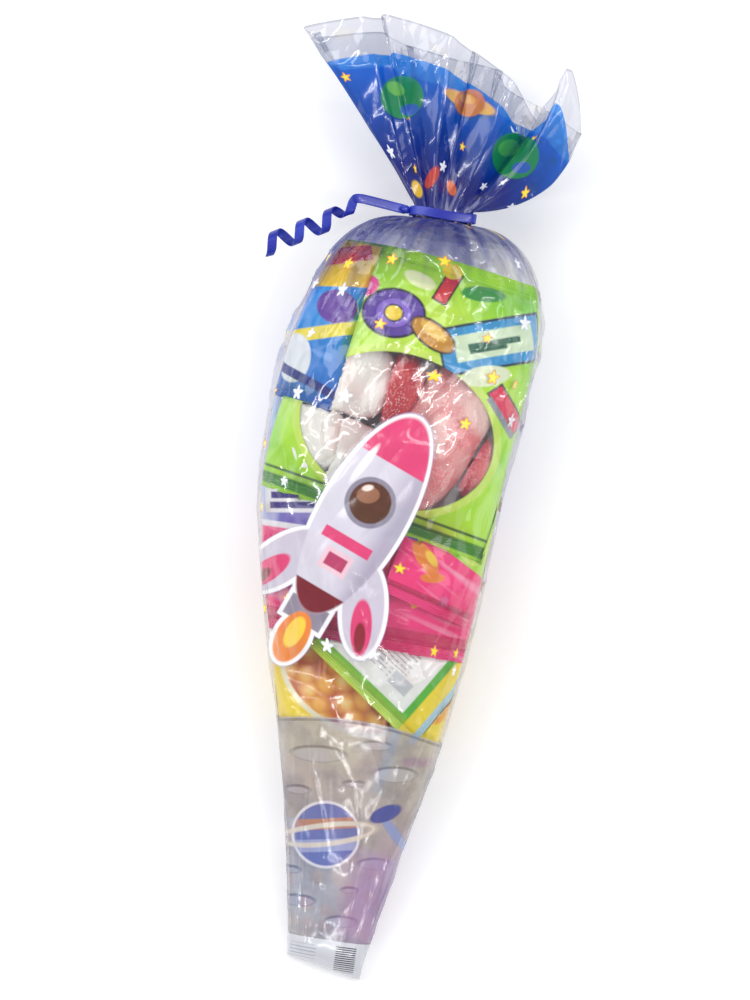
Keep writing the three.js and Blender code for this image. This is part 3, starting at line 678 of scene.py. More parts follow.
# %% The moon over the tip
CRATERS = [
    (-17.0, 117.0, 15.0, 4.6), (12.0, 126.0, 9.0, 2.8), (25.0, 112.0, 12.0, 4.4), (-25.0, 96.0, 7.0, 2.6),
    (21.0, 62.0, 9.0, 3.4), (-16.0, 36.0, 9.0, 3.4), (8.0, 28.0, 9.0, 3.4), (4.0, 104.0, 6.0, 2.0),
    (10.0, 46.0, 5.0, 2.0), (-22.0, 52.0, 5.0, 2.2),
]  # x, y and half sizes


def tip_material():
    """Moon ground with craters, a ringed planet and a comet, and the bare white end with plain bars."""
    plate = Plate("film_tip")
    x, y, _ = plate.object_mm()
    arc = plate.math("MULTIPLY_ADD", plate.both(x, x), -0.0032, 138.0)
    under = plate.math("SUBTRACT", arc, y)
    panel = plate.ramp(y, 17.4, 16.6)
    ground = plate.both(plate.ramp(under, -0.4, 0.4), plate.invert(panel))
    mottle = plate.noise(52.0, 4.0, 0.6)
    colour = plate.over(ink("c3bfc6"), ink("a29fab"), plate.ramp(mottle, 0.42, 0.62))
    colour = plate.over(colour, ink("cfcacc"), plate.both(plate.ramp(plate.noise(30.0, 2.0), 0.5, 0.7), 0.6))
    rim = plate.math("ABSOLUTE", plate.math("SUBTRACT", under, 1.6))
    colour = plate.over(colour, ink("7d8099"), plate.ramp(rim, 1.0, 0.5))
    for right, up, half, low in CRATERS:
        colour = plate.over(colour, ink("787890"), plate.disc(x, y, (right, up), (half, low), 6.0))
        pit = plate.disc(x, y, (right, up - 0.6), (half - 0.9, low - 0.8), 6.0)
        colour = plate.over(colour, ink("bdbccb"), pit)
    violet = plate.disc(x, y, (27.0, 44.0), (17.0, 34.0), -14.0, edge=5.0)
    colour = plate.over(colour, ink("b096cc"), plate.both(violet, 0.6))
    planet_at = (-7.0, 74.0)
    planet = plate.disc(x, y, planet_at, (17.0, 17.0))
    halo = plate.disc(x, y, planet_at, (18.6, 18.6))
    ring_hole = plate.disc(x, y, planet_at, (23.0, 3.8), 16.0)
    ring = plate.both(plate.disc(x, y, planet_at, (28.0, 6.5), 16.0), plate.invert(ring_hole))
    comet = plate.disc(x, y, (23.0, 90.0), (9.0, 4.2), 30.0)
    tail = plate.disc(x, y, (29.0, 80.0), (15.0, 2.6), -48.0)
    colour = plate.over(colour, ink("eeeaf4"), halo)
    colour = plate.over(colour, ink("6a78c0"), planet)
    for level, half, code in ((80.0, 3.0, "c48a7a"), (68.0, 3.4, "a8b2e0")):
        band = plate.bar(x, y, (-7.0, level), (20.0, half), 12.0)
        colour = plate.over(colour, ink(code), plate.both(planet, band))
    for mask, code in ((ring, "e9dfd6"), (tail, "93a6dc"), (comet, "3552ac")):
        colour = plate.over(colour, ink(code), mask)
    stripes = plate.math("PINGPONG", plate.math("MULTIPLY", y, 0.83), 0.5)
    bars = plate.both(plate.bar(x, y, (13.0, 7.0), (5.5, 7.5)), plate.ramp(stripes, 0.2, 0.3))
    lines = plate.math("PINGPONG", plate.math("MULTIPLY", y, 0.5), 0.5)
    block = plate.both(plate.bar(x, y, (-10.0, 9.0), (7.0, 4.0)), plate.ramp(lines, 0.36, 0.42))
    colour = plate.over(colour, ink("dcdee6"), panel)
    for mask, code in ((bars, "3a3f4a"), (block, "a4a9b4")):
        colour = plate.over(colour, ink(code), plate.both(mask, panel))
    thin = plate.both(ground, plate.math("MULTIPLY_ADD", mottle, 0.25, 0.5))
    sky_signs = plate.largest(halo, ring, comet, tail)
    weight = plate.largest(thin, plate.both(sky_signs, 0.74), plate.both(panel, 0.92))
    return inked_film(plate, colour, plate.math("MAXIMUM", weight, HAZE), CLEAR, 4.2)


# %% Fields of the film
TIP_FIELD_END, FRILL_FIELD_START = 141.0, 396.0
for material in (tip_material(), body_material(True), body_material(False), frill_material()):
    film.data.materials.append(material)
row_place = film_distance[:-1, None]
on_front = (np.arange(AROUND) < AROUND // 2)[None]
field = np.where(on_front, 1, 2)
field = np.where(row_place < TIP_FIELD_END, 0, np.where(row_place > FRILL_FIELD_START, 3, field))
end_faces = np.zeros(len(film.data.polygons) - field.size, int)
film.data.polygons.foreach_set("material_index", np.concatenate([field.ravel(), end_faces]).astype(np.int32))
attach(film, "root")
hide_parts("cone_bag")

# %% [markdown]
# ## The packs' form
# A sealed pack is a pillow: two films welded at flat fins, blown apart by what is in it. In the bag it
# is squeezed, so its front is cut off where the film or a pack above it presses. A height over the plan
# for each face gives all that: the pillow's own height, held under the room that is left.

# %% Pack measures
PACKS = [
    ("wafer_pack", 0.85, -0.78, -9, 38, 92, 22, 6, 0.68, 0.05, 0.08),
    ("marshmallow_pack", 0.773, 0.06, -9, 126, 146, 50, 7, 0.7, 0.0, 0.0),
    ("chew_pack", 0.6, 0.7, -12, 56, 84, 16, 6, 0.7, -0.3, -0.05),
    ("popcorn_pack", 0.66, 0.0, 3, 132, 182, 44, 7, 0.47, -0.3, 0.0),
    ("gummy_pack", 0.455, 0.3, -32, 84, 72, 22, 5, 0.68, -0.24, 0.02),
    ("nougat_pack", 0.36, 0.72, -8, 34, 96, 26, 5, 0.6, -0.05, -0.1),
    ("snack_pack", 0.33, -0.12, -6, 98, 122, 46, 6, 0.47, -0.1, 0.0),
    ("jelly_pack", 0.125, 0.02, 6, 58, 74, 40, 5, 0.5, 0.0, 0.0),
]  # name, along, across, turn, width, length, thickness, seal, level, tilt along, tilt across
FIELDS = "name along across turn width length thickness seal level tilt_along tilt_across".split()
packs = [dict(zip(FIELDS, row)) for row in PACKS]
FILM_GAP, PACK_GAP, FIN = 1.5, 1.0, 0.5
SIDE_LIMIT, SEAM_LIMIT = (0.92, 0.99), (0.8, 0.93)
END_MIDDLE, END_REACH, END_EASE = 202.0, 188.0, 8.0


def soft_limit(value, start, limit):
    """Leaves sizes under start alone and brings larger ones smoothly under limit."""
    size = np.abs(value)
    eased = start + (limit - start) * np.tanh((size - start) / (limit - start))
    return np.where(size <= start, value, np.sign(value) * eased)


def pack_middle(pack):
    """Where the pack's middle lies in plan."""
    y = pack["along"] * BODY_LENGTH
    centre, half = section(np.array(y))[:2]
    return float(centre + pack["across"] * half), y


def pack_to_plan(pack, across, along):
    """Plan position of a place on the pack, turned about its middle."""
    c, s = math.cos(math.radians(pack["turn"])), math.sin(math.radians(pack["turn"]))
    x, y = pack_middle(pack)
    return x + across * c - along * s, y + across * s + along * c


def plan_to_pack(pack, x, y):
    """The inverse: how far across and along the pack a plan position lies."""
    c, s = math.cos(math.radians(pack["turn"])), math.sin(math.radians(pack["turn"]))
    mx, my = pack_middle(pack)
    return (x - mx) * c + (y - my) * s, (y - my) * c - (x - mx) * s


def room(x, y, gap):
    """Lowest and highest place inside the film over a plan position, and the eased x."""
    centre, half, low, high, waist, _ = section(y)
    share = soft_limit((x - centre) / (half - gap), *SIDE_LIMIT)
    top = waist + (high - gap - waist) * arch(share, FRONT_POWER)
    squash = FLOOR_SQUASH * (high - low)
    bottom = np.maximum(waist - (waist - low - gap + squash) * arch(share, BACK_POWER), low + gap)
    return centre + share * (half - gap), bottom, top


def pack_faces(pack, a, b, across, along):
    """Seam height of the pack and how far its faces stand off it, before anything presses on it."""
    x, y = pack_to_plan(pack, across, along)
    y = np.clip(y, 0, BODY_LENGTH)
    centre, half, low, high, waist, _ = section(y)
    share = soft_limit((x - centre) / half, *SEAM_LIMIT)
    top = waist + (high - waist) * arch(share, FRONT_POWER)
    bottom = waist - (waist - low) * arch(share, BACK_POWER)
    seam = mix(bottom, top, pack["level"] + pack["tilt_along"] * b + pack["tilt_across"] * a)
    end = np.clip(np.abs(b) / (1 - 2 * pack["seal"] / pack["length"]), 0, 1)
    full = ((1 - np.abs(a) ** 3).clip(0) * (1 - end**3)) ** 0.6
    return seam, FIN / 2 + pack["thickness"] / 2 * full


def underside(pack, x, y):
    """Height of a pack's underside over the plan, and far above the bag where the pack isn't."""
    across, along = plan_to_pack(pack, x, y)
    a, b = across / (pack["width"] / 2), along / (pack["length"] / 2)
    seam, bulge = pack_faces(pack, np.clip(a, -1, 1), np.clip(b, -1, 1), across, along)
    return np.where((np.abs(a) < 1) & (np.abs(b) < 1), seam - bulge, 1e3)


# %% Pack surfaces
PACK_AROUND, PACK_ROWS = 200, 120


def pack_points(pack, order):
    """Points of a pack, its columns round the front and the back, and its print coordinates."""
    angle = (np.arange(PACK_AROUND) + 0.5) / PACK_AROUND * 2 * np.pi
    a = np.cos(angle)[None] * np.ones((PACK_ROWS, 1))
    b = np.sin(np.linspace(-1, 1, PACK_ROWS) * np.pi / 2)[:, None] * np.ones((1, PACK_AROUND))
    front = (np.sin(angle) > 0)[None]
    across, along = a * pack["width"] / 2, b * pack["length"] / 2
    x, y = pack_to_plan(pack, across, along)
    y = END_MIDDLE + soft_limit(y - END_MIDDLE, END_REACH - END_EASE, END_REACH)
    seam, bulge = pack_faces(pack, a, b, across, along)
    x, low, high = room(x, y, FILM_GAP)
    folds = creases(across / 13 + order * 9, along / 34, 50 + order) ** 3
    folds = folds + 0.7 * creases(across / 30 + along / 40, along / 12, 70 + order) ** 3
    pull = creases(a * 9 + order * 5, np.sign(b) * 3 + b * 0.4, 90 + order) * np.abs(b) ** 4
    crumple = (1.5 * folds + 1.3 * pull - 1.2) * np.clip(bulge / 6, 0.12, 1)
    top = np.minimum(seam + np.maximum(bulge + crumple, FIN / 2), high + np.minimum(crumple, 0))
    for upper in packs[:order]:
        top = np.minimum(top, underside(upper, x, y) - PACK_GAP)
    top = np.maximum(top, low + FIN)
    bottom = np.minimum(np.maximum(seam - np.maximum(bulge + crumple, FIN / 2), low), top - FIN)
    z = np.where(front, top, bottom)
    share = 1 - np.clip(y / SHOULDER_START, 0, 1)
    points = np.stack([x, y - TIP_SLANT * share * (x - section(y)[0]), z], -1)
    uv = np.stack([across, along], -1) * MM
    return points, np.concatenate([uv, uv[:, :1]], 1)


def make_pack(pack, order, material):
    """One pack as a piece in its node's place."""
    points, uv = pack_points(pack, order)
    name = pack["name"] + "_film"
    piece = new_object(name, grid_mesh(name, to_frame(points), uv, True, (True, True)))
    piece.data.materials.append(material)
    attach(piece, "root")
    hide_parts(pack["name"])
    return piece


# %% [markdown]
# ## The packs' prints
# Pack film is glossy and printed all over. Each pack gets fields of flat colour in the places that the
# real ones have them, and plain shapes where a name would stand. The end seals are crimped, which shows
# as fine ribs across the fin, and the whole face is lightly crumpled. The magenta grounds also carry
# pale streaks of painted highlight for the gloss on their creases.

# %% Pack film
def pack_material(pack, paint, window=None):
    """Glossy printed film with ribbed end seals; the window, where there is one, is clear."""
    plate = Plate(pack["name"] + "_print")
    x, y = plate.print_mm()
    colour = paint(plate, x, y)
    seal_start = pack["length"] / 2 - pack["seal"]
    fin = plate.ramp(plate.math("ABSOLUTE", y), seal_start - 0.6, seal_start)
    ribs = plate.math("PINGPONG", plate.math("MULTIPLY", y, 0.8), 0.5)
    height = plate.total(plate.both(plate.both(ribs, fin), 0.12), plate.both(crumple(plate), 0.8))
    creased = plate.bump(height, 0.8, 8.0)
    pale = plate.both(plate.ramp(plate.noise(60.0, 3.0), 0.58, 0.8), 0.1)
    colour = plate.over(colour, ink("ffffff"), pale)
    inside = plate.nodes.new("ShaderNodeNewGeometry").outputs["Backfacing"]
    colour = plate.over(colour, ink("f6f3ee"), inside)
    print_film = plate.solid(colour, 0.24, creased, Coat_Weight=0.5, Coat_Roughness=0.08).outputs[0]
    if window is None:
        return plate.finish(print_film)
    clear = plate.clear_film((0.98, 0.98, 0.97, 1), 0.1, creased, 0.35, 0.04)
    return plate.finish(plate.blend(window(plate, x, y), print_film, clear))


def wafer_print(plate, x, y):
    """Blue with a yellow head, red flashes and a purple disc."""
    base = plate.over(ink("1c9cf0"), ink("1560c8"), plate.ramp(y, 10.0, -46.0))
    return layers(plate, x, y, base, [
        ("bar", (0.0, 32.0), (30.0, 14.0), 14.0, "ffd414"), ("bar", (2.0, 36.0), (14.0, 4.6), 24.0, "e8281e"),
        ("disc", (6.0, 8.0), (11.0, 9.0), 0.0, "6a3aa8"), ("bar", (0.0, -8.0), (26.0, 3.4), 24.0, "f4e02a"),
        ("disc", (-8.0, -24.0), (9.0, 13.0), 10.0, "e8edf8"),
        ("bar", (4.0, -34.0), (22.0, 2.4), -12.0, "1b2f8a"),
    ])


def window_mask(plate, x, y):
    """The clear oval of the marshmallow pack, only on its front."""
    oval = plate.disc(x, y, (0.0, -22.0), (52.0, 40.0))
    _, _, z = plate.object_mm()
    return plate.both(oval, plate.ramp(z, 57.0, 58.0))


def marshmallow_print(plate, x, y):
    """Lime green with a purple flower disc, a blue banner and a darker lower border."""
    base = plate.over(ink("b4ec26"), ink("80d81a"), plate.ramp(plate.noise(28.0, 2.0), 0.42, 0.68))
    glow = plate.disc(x, y, (-6.0, 30.0), (50.0, 26.0), 0.0, 14.0)
    base = plate.over(base, ink("d2f04a"), plate.both(glow, 0.6))
    return layers(plate, x, y, base, [
        ("disc", (0.0, -22.0), (56.0, 44.0), 0.0, "d0f060"),
        ("bar", (34.0, 36.0), (28.0, 13.0), 28.0, "173a52"),
        ("bar", (34.0, 36.0), (26.6, 11.6), 28.0, "2f9ad8"),
        ("bar", (35.0, 37.0), (21.0, 7.0), 28.0, "dff2d0"),
        ("bar", (35.0, 37.0), (14.0, 1.6), 28.0, "2a6a4c"),
        ("bar", (33.0, 33.0), (10.0, 1.2), 28.0, "2a6a4c"),
        ("disc", (36.0, 19.0), (13.0, 5.4), 24.0, "eef8d8"),
        ("disc", (-20.0, 36.0), (17.0, 13.4), 10.0, "1e1a3c"),
        ("disc", (-20.0, 36.0), (15.6, 12.0), 10.0, "5f3fa8"),
        ("disc", (-20.0, 36.0), (9.0, 7.5), 10.0, "8f70d8"),
        ("disc", (-20.0, 36.0), (5.4, 4.8), 0.0, "2a1c52"),
        ("disc", (-20.0, 36.0), (4.4, 3.8), 0.0, "ffdc1c"),
        ("disc", (3.0, 31.0), (14.0, 7.0), -20.0, "3a2a12"),
        ("disc", (3.0, 31.0), (12.8, 5.8), -20.0, "d0921c"),
        ("disc", (3.0, 33.0), (8.0, 3.0), -20.0, "f6c850"),
        ("disc", (-40.0, 45.0), (9.0, 6.0), 30.0, "e84aa0"),
        ("disc", (-40.0, 45.0), (5.4, 3.2), 30.0, "f6b0d4"),
        ("bar", (3.0, 58.0), (4.4, 10.0), -14.0, "2a1c12"), ("bar", (3.0, 58.0), (3.4, 9.0), -14.0, "e0282c"),
        ("disc", (3.0, 67.0), (5.4, 4.4), 0.0, "f8dc2a"), ("disc", (22.0, 60.0), (12.0, 4.2), 12.0, "2f9a34"),
        ("disc", (-12.0, 57.0), (9.0, 4.0), -10.0, "f0f8c0"),
        ("bar", (52.0, 6.0), (13.0, 5.0), -40.0, "3c3f48"),
        ("bar", (52.0, 6.0), (12.0, 4.0), -40.0, "e8325a"),
        ("bar", (50.0, 1.0), (12.0, 1.6), -40.0, "8f96a2"),
        ("bar", (0.0, -67.5), (64.0, 3.0), 0.0, "3f9412"), ("bar", (0.0, -61.0), (64.0, 0.7), 0.0, "2c6a10"),
    ])


def magenta_and_painted_highlights(plate, x, y):
    """Mottled magenta with pale streaks of painted highlight, which stand for gloss on creases pulled across
    it.
    """
    ground = plate.over(ink("ff3a88"), ink("ee1f70"), plate.ramp(plate.noise(34.0, 2.0), 0.45, 0.7))
    # Painted highlight: the pale pink streaks stand for gloss on the film's creases, not for ink.
    slant = plate.math("MULTIPLY_ADD", x, 0.035, plate.both(y, 0.14))
    pulled = plate.streaks(slant, plate.both(x, 0.014))
    return plate.over(ground, ink("ffb6d2"), plate.both(plate.ramp(pulled, 0.54, 0.7), 0.65))


def chew_print(plate, x, y):
    """Green running to yellow-green, over a slanted magenta foot with orange shapes."""
    green = plate.over(ink("74d828"), ink("cdf03a"), plate.ramp(x, -10.0, 28.0))
    green = plate.over(green, ink("d8ef6a"), plate.disc(x, y, (6.0, 6.0), (10.0, 18.0), 20.0))
    foot = plate.ramp(plate.math("MULTIPLY_ADD", x, 0.25, y), -9.6, -10.4)
    return layers(plate, x, y, plate.over(green, magenta_and_painted_highlights(plate, x, y), foot), [
        ("disc", (-13.0, -17.0), (10.0, 4.6), -34.0, "f08a24"),
        ("disc", (-10.0, -16.0), (4.6, 2.2), -34.0, "ffd24a"),
        ("disc", (-6.0, -25.0), (6.4, 2.6), 22.0, "f08a24"),
        ("bar", (0.0, -36.0), (30.0, 1.6), 0.0, "c81458"),
    ])


def popcorn_print(plate, x, y):
    """Magenta with a purple head, a white line between, and a few orange and yellow shapes."""
    head = plate.ramp(y, -34.0, -33.0)
    base = plate.over(magenta_and_painted_highlights(plate, x, y), ink("6a58c0"), head)
    base = plate.over(base, ink("b9cdf4"), plate.both(head, plate.ramp(x, -50.0, -60.0)))
    patches = plate.both(plate.ramp(plate.noise(30.0, 2.0), 0.5, 0.6), 0.6)
    base = plate.over(base, ink("b7a6dc"), plate.both(head, patches))
    return layers(plate, x, y, base, [
        ("bar", (0.0, -33.5), (70.0, 1.6), 0.0, "f4f2fa"),
        ("bar", (-46.0, -19.0), (15.0, 7.0), 8.0, "f1edf8"),
        ("bar", (-46.0, -16.5), (12.0, 1.8), 8.0, "3b2a86"),
        ("bar", (-46.0, -22.0), (12.0, 1.8), 8.0, "3b2a86"),
        ("disc", (-44.0, -49.0), (15.0, 6.5), 16.0, "f4cf1a"),
        ("disc", (-44.0, -49.0), (10.5, 3.2), 16.0, "f5327f"),
        ("disc", (-30.0, -53.0), (7.0, 4.5), 0.0, "f4cf1a"),
        ("disc", (36.0, -46.0), (14.0, 6.4), -24.0, "f08a24"),
        ("disc", (41.0, -42.0), (6.0, 3.4), -24.0, "ffd24a"),
        ("bar", (30.0, -60.0), (10.0, 2.2), 30.0, "f4b21c"),
        ("bar", (0.0, -82.0), (70.0, 3.6), 0.0, "d81560"),
    ])


def gummy_print(plate, x, y):
    """White information side in a green border, with plain grey lines and a barred block."""
    base = plate.over(ink("54bb26"), ink("c6e23a"), plate.ramp(y, -26.0, -35.0))
    panel = plate.bar(x, y, (-3.0, -1.0), (30.0, 26.0))
    colour = plate.over(base, ink("f3f5f2"), panel)
    lines = plate.math("PINGPONG", plate.math("MULTIPLY", y, 0.42), 0.5)
    gaps = plate.ramp(plate.noise(420.0, 1.0), 0.4, 0.46)
    dashes = plate.both(plate.ramp(lines, 0.3, 0.36), gaps)
    dashes = plate.both(dashes, plate.bar(x, y, (-6.0, 2.0), (22.0, 20.0)))
    colour = plate.over(colour, ink("9aa3a8"), plate.both(dashes, 0.75))
    return layers(plate, x, y, colour, [
        ("bar", (16.0, -16.0), (7.0, 5.0), 0.0, "f3f5f2"), ("bar", (16.0, -16.0), (6.0, 4.0), 0.0, "c9ced2"),
        ("bar", (-38.0, 0.0), (2.4, 40.0), 0.0, "2f8f1c"), ("bar", (36.0, -4.0), (5.0, 40.0), 0.0, "f8e022"),
        ("bar", (40.4, -4.0), (2.0, 40.0), 0.0, "a9d3ea"),
    ])


def nougat_print(plate, x, y):
    """Yellow with a pale side, a light blue stripe and an orange oval."""
    base = plate.over(ink("f4dd22"), ink("f7f0a8"), plate.ramp(x, -4.0, -10.0))
    return layers(plate, x, y, base, [
        ("bar", (-12.5, 0.0), (2.4, 60.0), 0.0, "a9d3ea"), ("disc", (5.0, 12.0), (7.0, 12.0), 0.0, "f2a81c"),
        ("disc", (5.0, 12.0), (4.0, 8.0), 0.0, "fff3c0"), ("bar", (4.0, -22.0), (9.0, 2.4), 20.0, "e0562a"),
    ])


def snack_print(plate, x, y):
    """Yellow with a pale-edged oval full of orange puffs and a blue flash."""
    base = plate.over(ink("f6dc12"), ink("f2a614"), plate.ramp(plate.noise(26.0, 2.0), 0.5, 0.75))
    oval = plate.disc(x, y, (-4.0, 22.0), (36.0, 24.0), -4.0)
    colour = plate.over(base, ink("f6f2d4"), plate.disc(x, y, (-4.0, 22.0), (39.0, 27.0), -4.0))
    dx, dy, _, lift, _ = plate.scatter(x, y, 11.0, 5)
    away = plate.length(dx, dy)
    puff = plate.over(ink("c9661a"), ink("f6b24a"), plate.ramp(away, 7.0, 2.5))
    puff = plate.over(puff, ink("fbd58a"), plate.both(plate.ramp(away, 3.4, 0.8), plate.ramp(lift, 0.2, 0.5)))
    colour = plate.over(colour, puff, oval)
    return layers(plate, x, y, colour, [
        ("bar", (22.0, 26.0), (15.0, 6.4), 12.0, "f4f7fc"),
        ("bar", (22.0, 26.0), (12.0, 3.8), 12.0, "2d62c0"),
        ("bar", (-30.0, 46.0), (16.0, 2.6), 6.0, "d8402a"),
        ("bar", (-20.0, 51.0), (22.0, 2.2), 6.0, "2f9e6a"),
        ("bar", (0.0, -40.0), (50.0, 12.0), 0.0, "e8b60e"),
    ])


def jelly_print(plate, x, y):
    """Pink and pale blue halves with a few bright jelly dots."""
    base = plate.over(ink("e79cc8"), ink("a9c4e8"), plate.ramp(x, 3.0, -3.0))
    dx, dy, tint, _, _ = plate.scatter(x, y, 12.0, 7)
    away = plate.length(dx, dy)
    dots = plate.over(ink("e8566a"), ink("f0b45a"), plate.ramp(tint, 0.5, 0.51))
    return plate.over(base, dots, plate.both(plate.ramp(away, 4.2, 3.8), 0.5))


paints = [
    wafer_print, marshmallow_print, chew_print, popcorn_print,
    gummy_print, nougat_print, snack_print, jelly_print,
]
for order, (pack, paint) in enumerate(zip(packs, paints)):
    opening = window_mask if pack["name"] == "marshmallow_pack" else None
    make_pack(pack, order, pack_material(pack, paint, opening))

# %% [markdown]
# ## The sweets in the window
# Marshmallows and sugared gummies lie loose behind the clear window. Each is a rounded lump, squarer for
# a marshmallow, pressed flat where the pack's film touches it and where an earlier sweet already lies.
# Marshmallows are dusted and dull; gummies glow with their colour under coarse sugar.

# %% Lumps
SWEETS = [
    ("sugared_gummy_1", 21, 3, 40, 80, 40, -14, 2.6), ("marshmallow_1", -30, 20, 38, 36, 34, 2, 3.4),
    ("marshmallow_2", -40, -12, 25, 38, 34, 16, 3.4), ("sugared_gummy_2", -3.7, 20, 24, 38, 32, 14, 2.4),
    ("marshmallow_3", -19, -20, 38, 34, 32, -8, 3.4), ("sugared_gummy_3", 45.5, -5, 14, 32, 26, -6, 2.4),
]  # name, across, along, width, length, height, turn, squareness
WINDOW_ALONG, PACK_EDGE = -22.0, 0.98
SWELL, DENT, SWEET_GAP, LEAST_ROOM = 1.1, 0.035, 0.4, 8.0
FRONT_SKIN, BACK_SKIN = 1.2, 1.4  # distance kept to the pack's own front and back
FILM_SKIN, UPPER_SKIN = 0.8, 2.0  # and to the bag and the packs above
LUMP_AROUND, LUMP_ROWS, POLE = 96, 60, 0.999
SHARES, HALVINGS = 41, 7


def sweet_place(sweet, pack, ball):
    """A ball's points turned into the pack and pressed between its faces: u, v, x, y, z and the room."""
    across, along, turn = sweet[1], WINDOW_ALONG + sweet[2], math.radians(sweet[6])
    u = across + ball[..., 0] * math.cos(turn) - ball[..., 1] * math.sin(turn)
    v = along + ball[..., 0] * math.sin(turn) + ball[..., 1] * math.cos(turn)
    x, y = pack_to_plan(pack, u, v)
    a, b = u / (pack["width"] / 2), v / (pack["length"] / 2)
    seam, bulge = pack_faces(pack, np.clip(a, -PACK_EDGE, PACK_EDGE), np.clip(b, -PACK_EDGE, PACK_EDGE), u, v)
    _, low, high = room(x, y, FILM_GAP + FRONT_SKIN)
    top = np.minimum(seam + bulge - FRONT_SKIN, high - FILM_SKIN)
    bottom = np.maximum(seam - bulge + BACK_SKIN, low)
    for upper in packs[:packs.index(pack)]:
        top = np.minimum(top, underside(upper, x, y) - UPPER_SKIN)
    middle = pack_faces(pack, 0, 0, across, along)[0]
    z = np.clip(middle + ball[..., 2], bottom, np.maximum(top, bottom + 0.3))
    return u, v, x, y, z, top - bottom


def far_out(sweet, pack, u, v, z):
    """How far out a place lies from a sweet's middle: below 1 it is in that sweet or in the gap round it."""
    across, along, turn = sweet[1], WINDOW_ALONG + sweet[2], math.radians(sweet[6])
    right, ahead = u - across, v - along
    own = np.stack([
        right * math.cos(turn) + ahead * math.sin(turn), ahead * math.cos(turn) - right * math.sin(turn),
        z - pack_faces(pack, 0, 0, across, along)[0],
    ], -1)
    size = np.array(sweet[3:6]) * SWELL * (1 + DENT) / 2 + SWEET_GAP
    return (np.abs(own / size) ** sweet[7]).sum(-1) ** (1 / sweet[7])


def unit_ball(rise, angle):
    """Points of a ball by their rise above its middle and the angle round it."""
    ring = np.cos(rise)
    return np.stack([ring * np.cos(angle), ring * np.sin(angle), np.sin(rise) + 0 * angle], -1)


def is_free(sweet, pack, ball, earlier):
    """Whether points pressed into the pack keep out of the earlier sweets and out of its thin edge."""
    u, v, _, _, z, height = sweet_place(sweet, pack, ball)
    free = height > LEAST_ROOM
    for other in earlier:
        free &= far_out(other, pack, u, v, z) > 1
    return free


def lump_points(sweet, pack, seed, earlier):
    """A dented superellipsoid; each point stops on its way out where an earlier sweet begins."""
    angle = np.arange(LUMP_AROUND) / LUMP_AROUND * 2 * np.pi
    rise = np.linspace(-POLE, POLE, LUMP_ROWS)[:, None] * np.pi / 2
    ball = unit_ball(rise, angle)
    reach = (np.abs(ball) ** sweet[7]).sum(-1, keepdims=True) ** (1 / sweet[7])
    noise = lattice_noise(ball[..., 0] * 3 + seed, ball[..., 1] * 3 + ball[..., 2] * 2, seed)
    ball = ball / reach * (1 + DENT * noise[..., None]) * np.array(sweet[3:6]) * SWELL / 2
    shares = np.linspace(0, 1, SHARES)
    free = np.stack([is_free(sweet, pack, ball * share, earlier) for share in shares])
    share = shares[np.where(free.all(0), SHARES - 1, np.maximum(np.argmin(free, 0) - 1, 0))]
    for halving in range(1, HALVINGS + 1):
        further = np.minimum(share + shares[1] / 2 ** halving, 1)
        share = np.where(is_free(sweet, pack, ball * further[..., None], earlier), further, share)
    u, v, x, y, z, _ = sweet_place(sweet, pack, ball * share[..., None])
    return np.stack([x, y, z], -1), np.stack([u, v], -1) * MM


def marshmallow_material():
    """Dusted foam sugar: dull, nearly white, with pink faces and fine pits."""
    plate = Plate("marshmallow_foam")
    tint = plate.ramp(plate.noise(30.0, 1.0), 0.5, 0.62)
    colour = plate.over(ink("fffdf8"), ink("fbd0d2"), plate.both(tint, 0.5))
    grain = plate.bump(plate.noise(1400.0, 3.0, 0.7), 0.5, 0.5)
    foam = plate.solid(colour, 0.85, grain, Sheen_Weight=0.25, Subsurface_Weight=0.12)
    foam.inputs["Subsurface Radius"].default_value = (0.004, 0.003, 0.003)
    return plate.finish(foam.outputs[0])


def gummy_material(name, deep, pale):
    """Sugared jelly: coarse white crystals over a deep colour."""
    plate = Plate(name)
    place = plate.nodes.new("ShaderNodeTexCoord").outputs["Object"]
    crystals = plate.add("ShaderNodeTexVoronoi", Vector=place, Scale=900.0)
    sugar = plate.ramp(crystals.outputs["Distance"], 0.42, 0.2)
    cover = plate.ramp(plate.noise(70.0, 3.0), 0.38, 0.62)
    colour = plate.over(ink(deep), ink(pale), plate.ramp(plate.noise(45.0, 2.0), 0.4, 0.65))
    colour = plate.over(colour, ink("fff1f0"), plate.both(plate.both(sugar, cover), 0.75))
    grain = plate.bump(crystals.outputs["Distance"], 0.6, 0.6)
    jelly = plate.solid(colour, 0.42, grain, Subsurface_Weight=0.1)
    jelly.inputs["Subsurface Radius"].default_value = (0.004, 0.001, 0.001)
    return plate.finish(jelly.outputs[0])


foam = marshmallow_material()
jellies = {
    "sugared_gummy_1": gummy_material("pink_jelly", "f58a8e", "ffd6d2"),
    "sugared_gummy_2": gummy_material("red_jelly", "d3222f", "e8474a"),
    "sugared_gummy_3": gummy_material("rose_jelly", "dc3a50", "ee7680"),
}
window_pack = packs[1]
for seed, sweet in enumerate(SWEETS):
    points, uv = lump_points(sweet, window_pack, seed, SWEETS[:seed])
    uv = np.concatenate([uv, uv[:, :1]], 1)
    name = sweet[0] + "_lump"
    piece = new_object(name, grid_mesh(name, to_frame(points)[::-1], uv[::-1], True, (True, True)))
    piece.data.materials.append(jellies.get(sweet[0], foam))
    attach(piece, "root")
    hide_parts(sweet[0])

# %% [markdown]
# ## The curling ribbon
# The tie is a flat ribbon: a band round the neck, a pulled-tight knot on its left, and one long end that
# was drawn over a blade, so that it springs into a corkscrew which widens to the cut end. The strip's
# section is a thin rounded bar, carried along the path and turned with it.

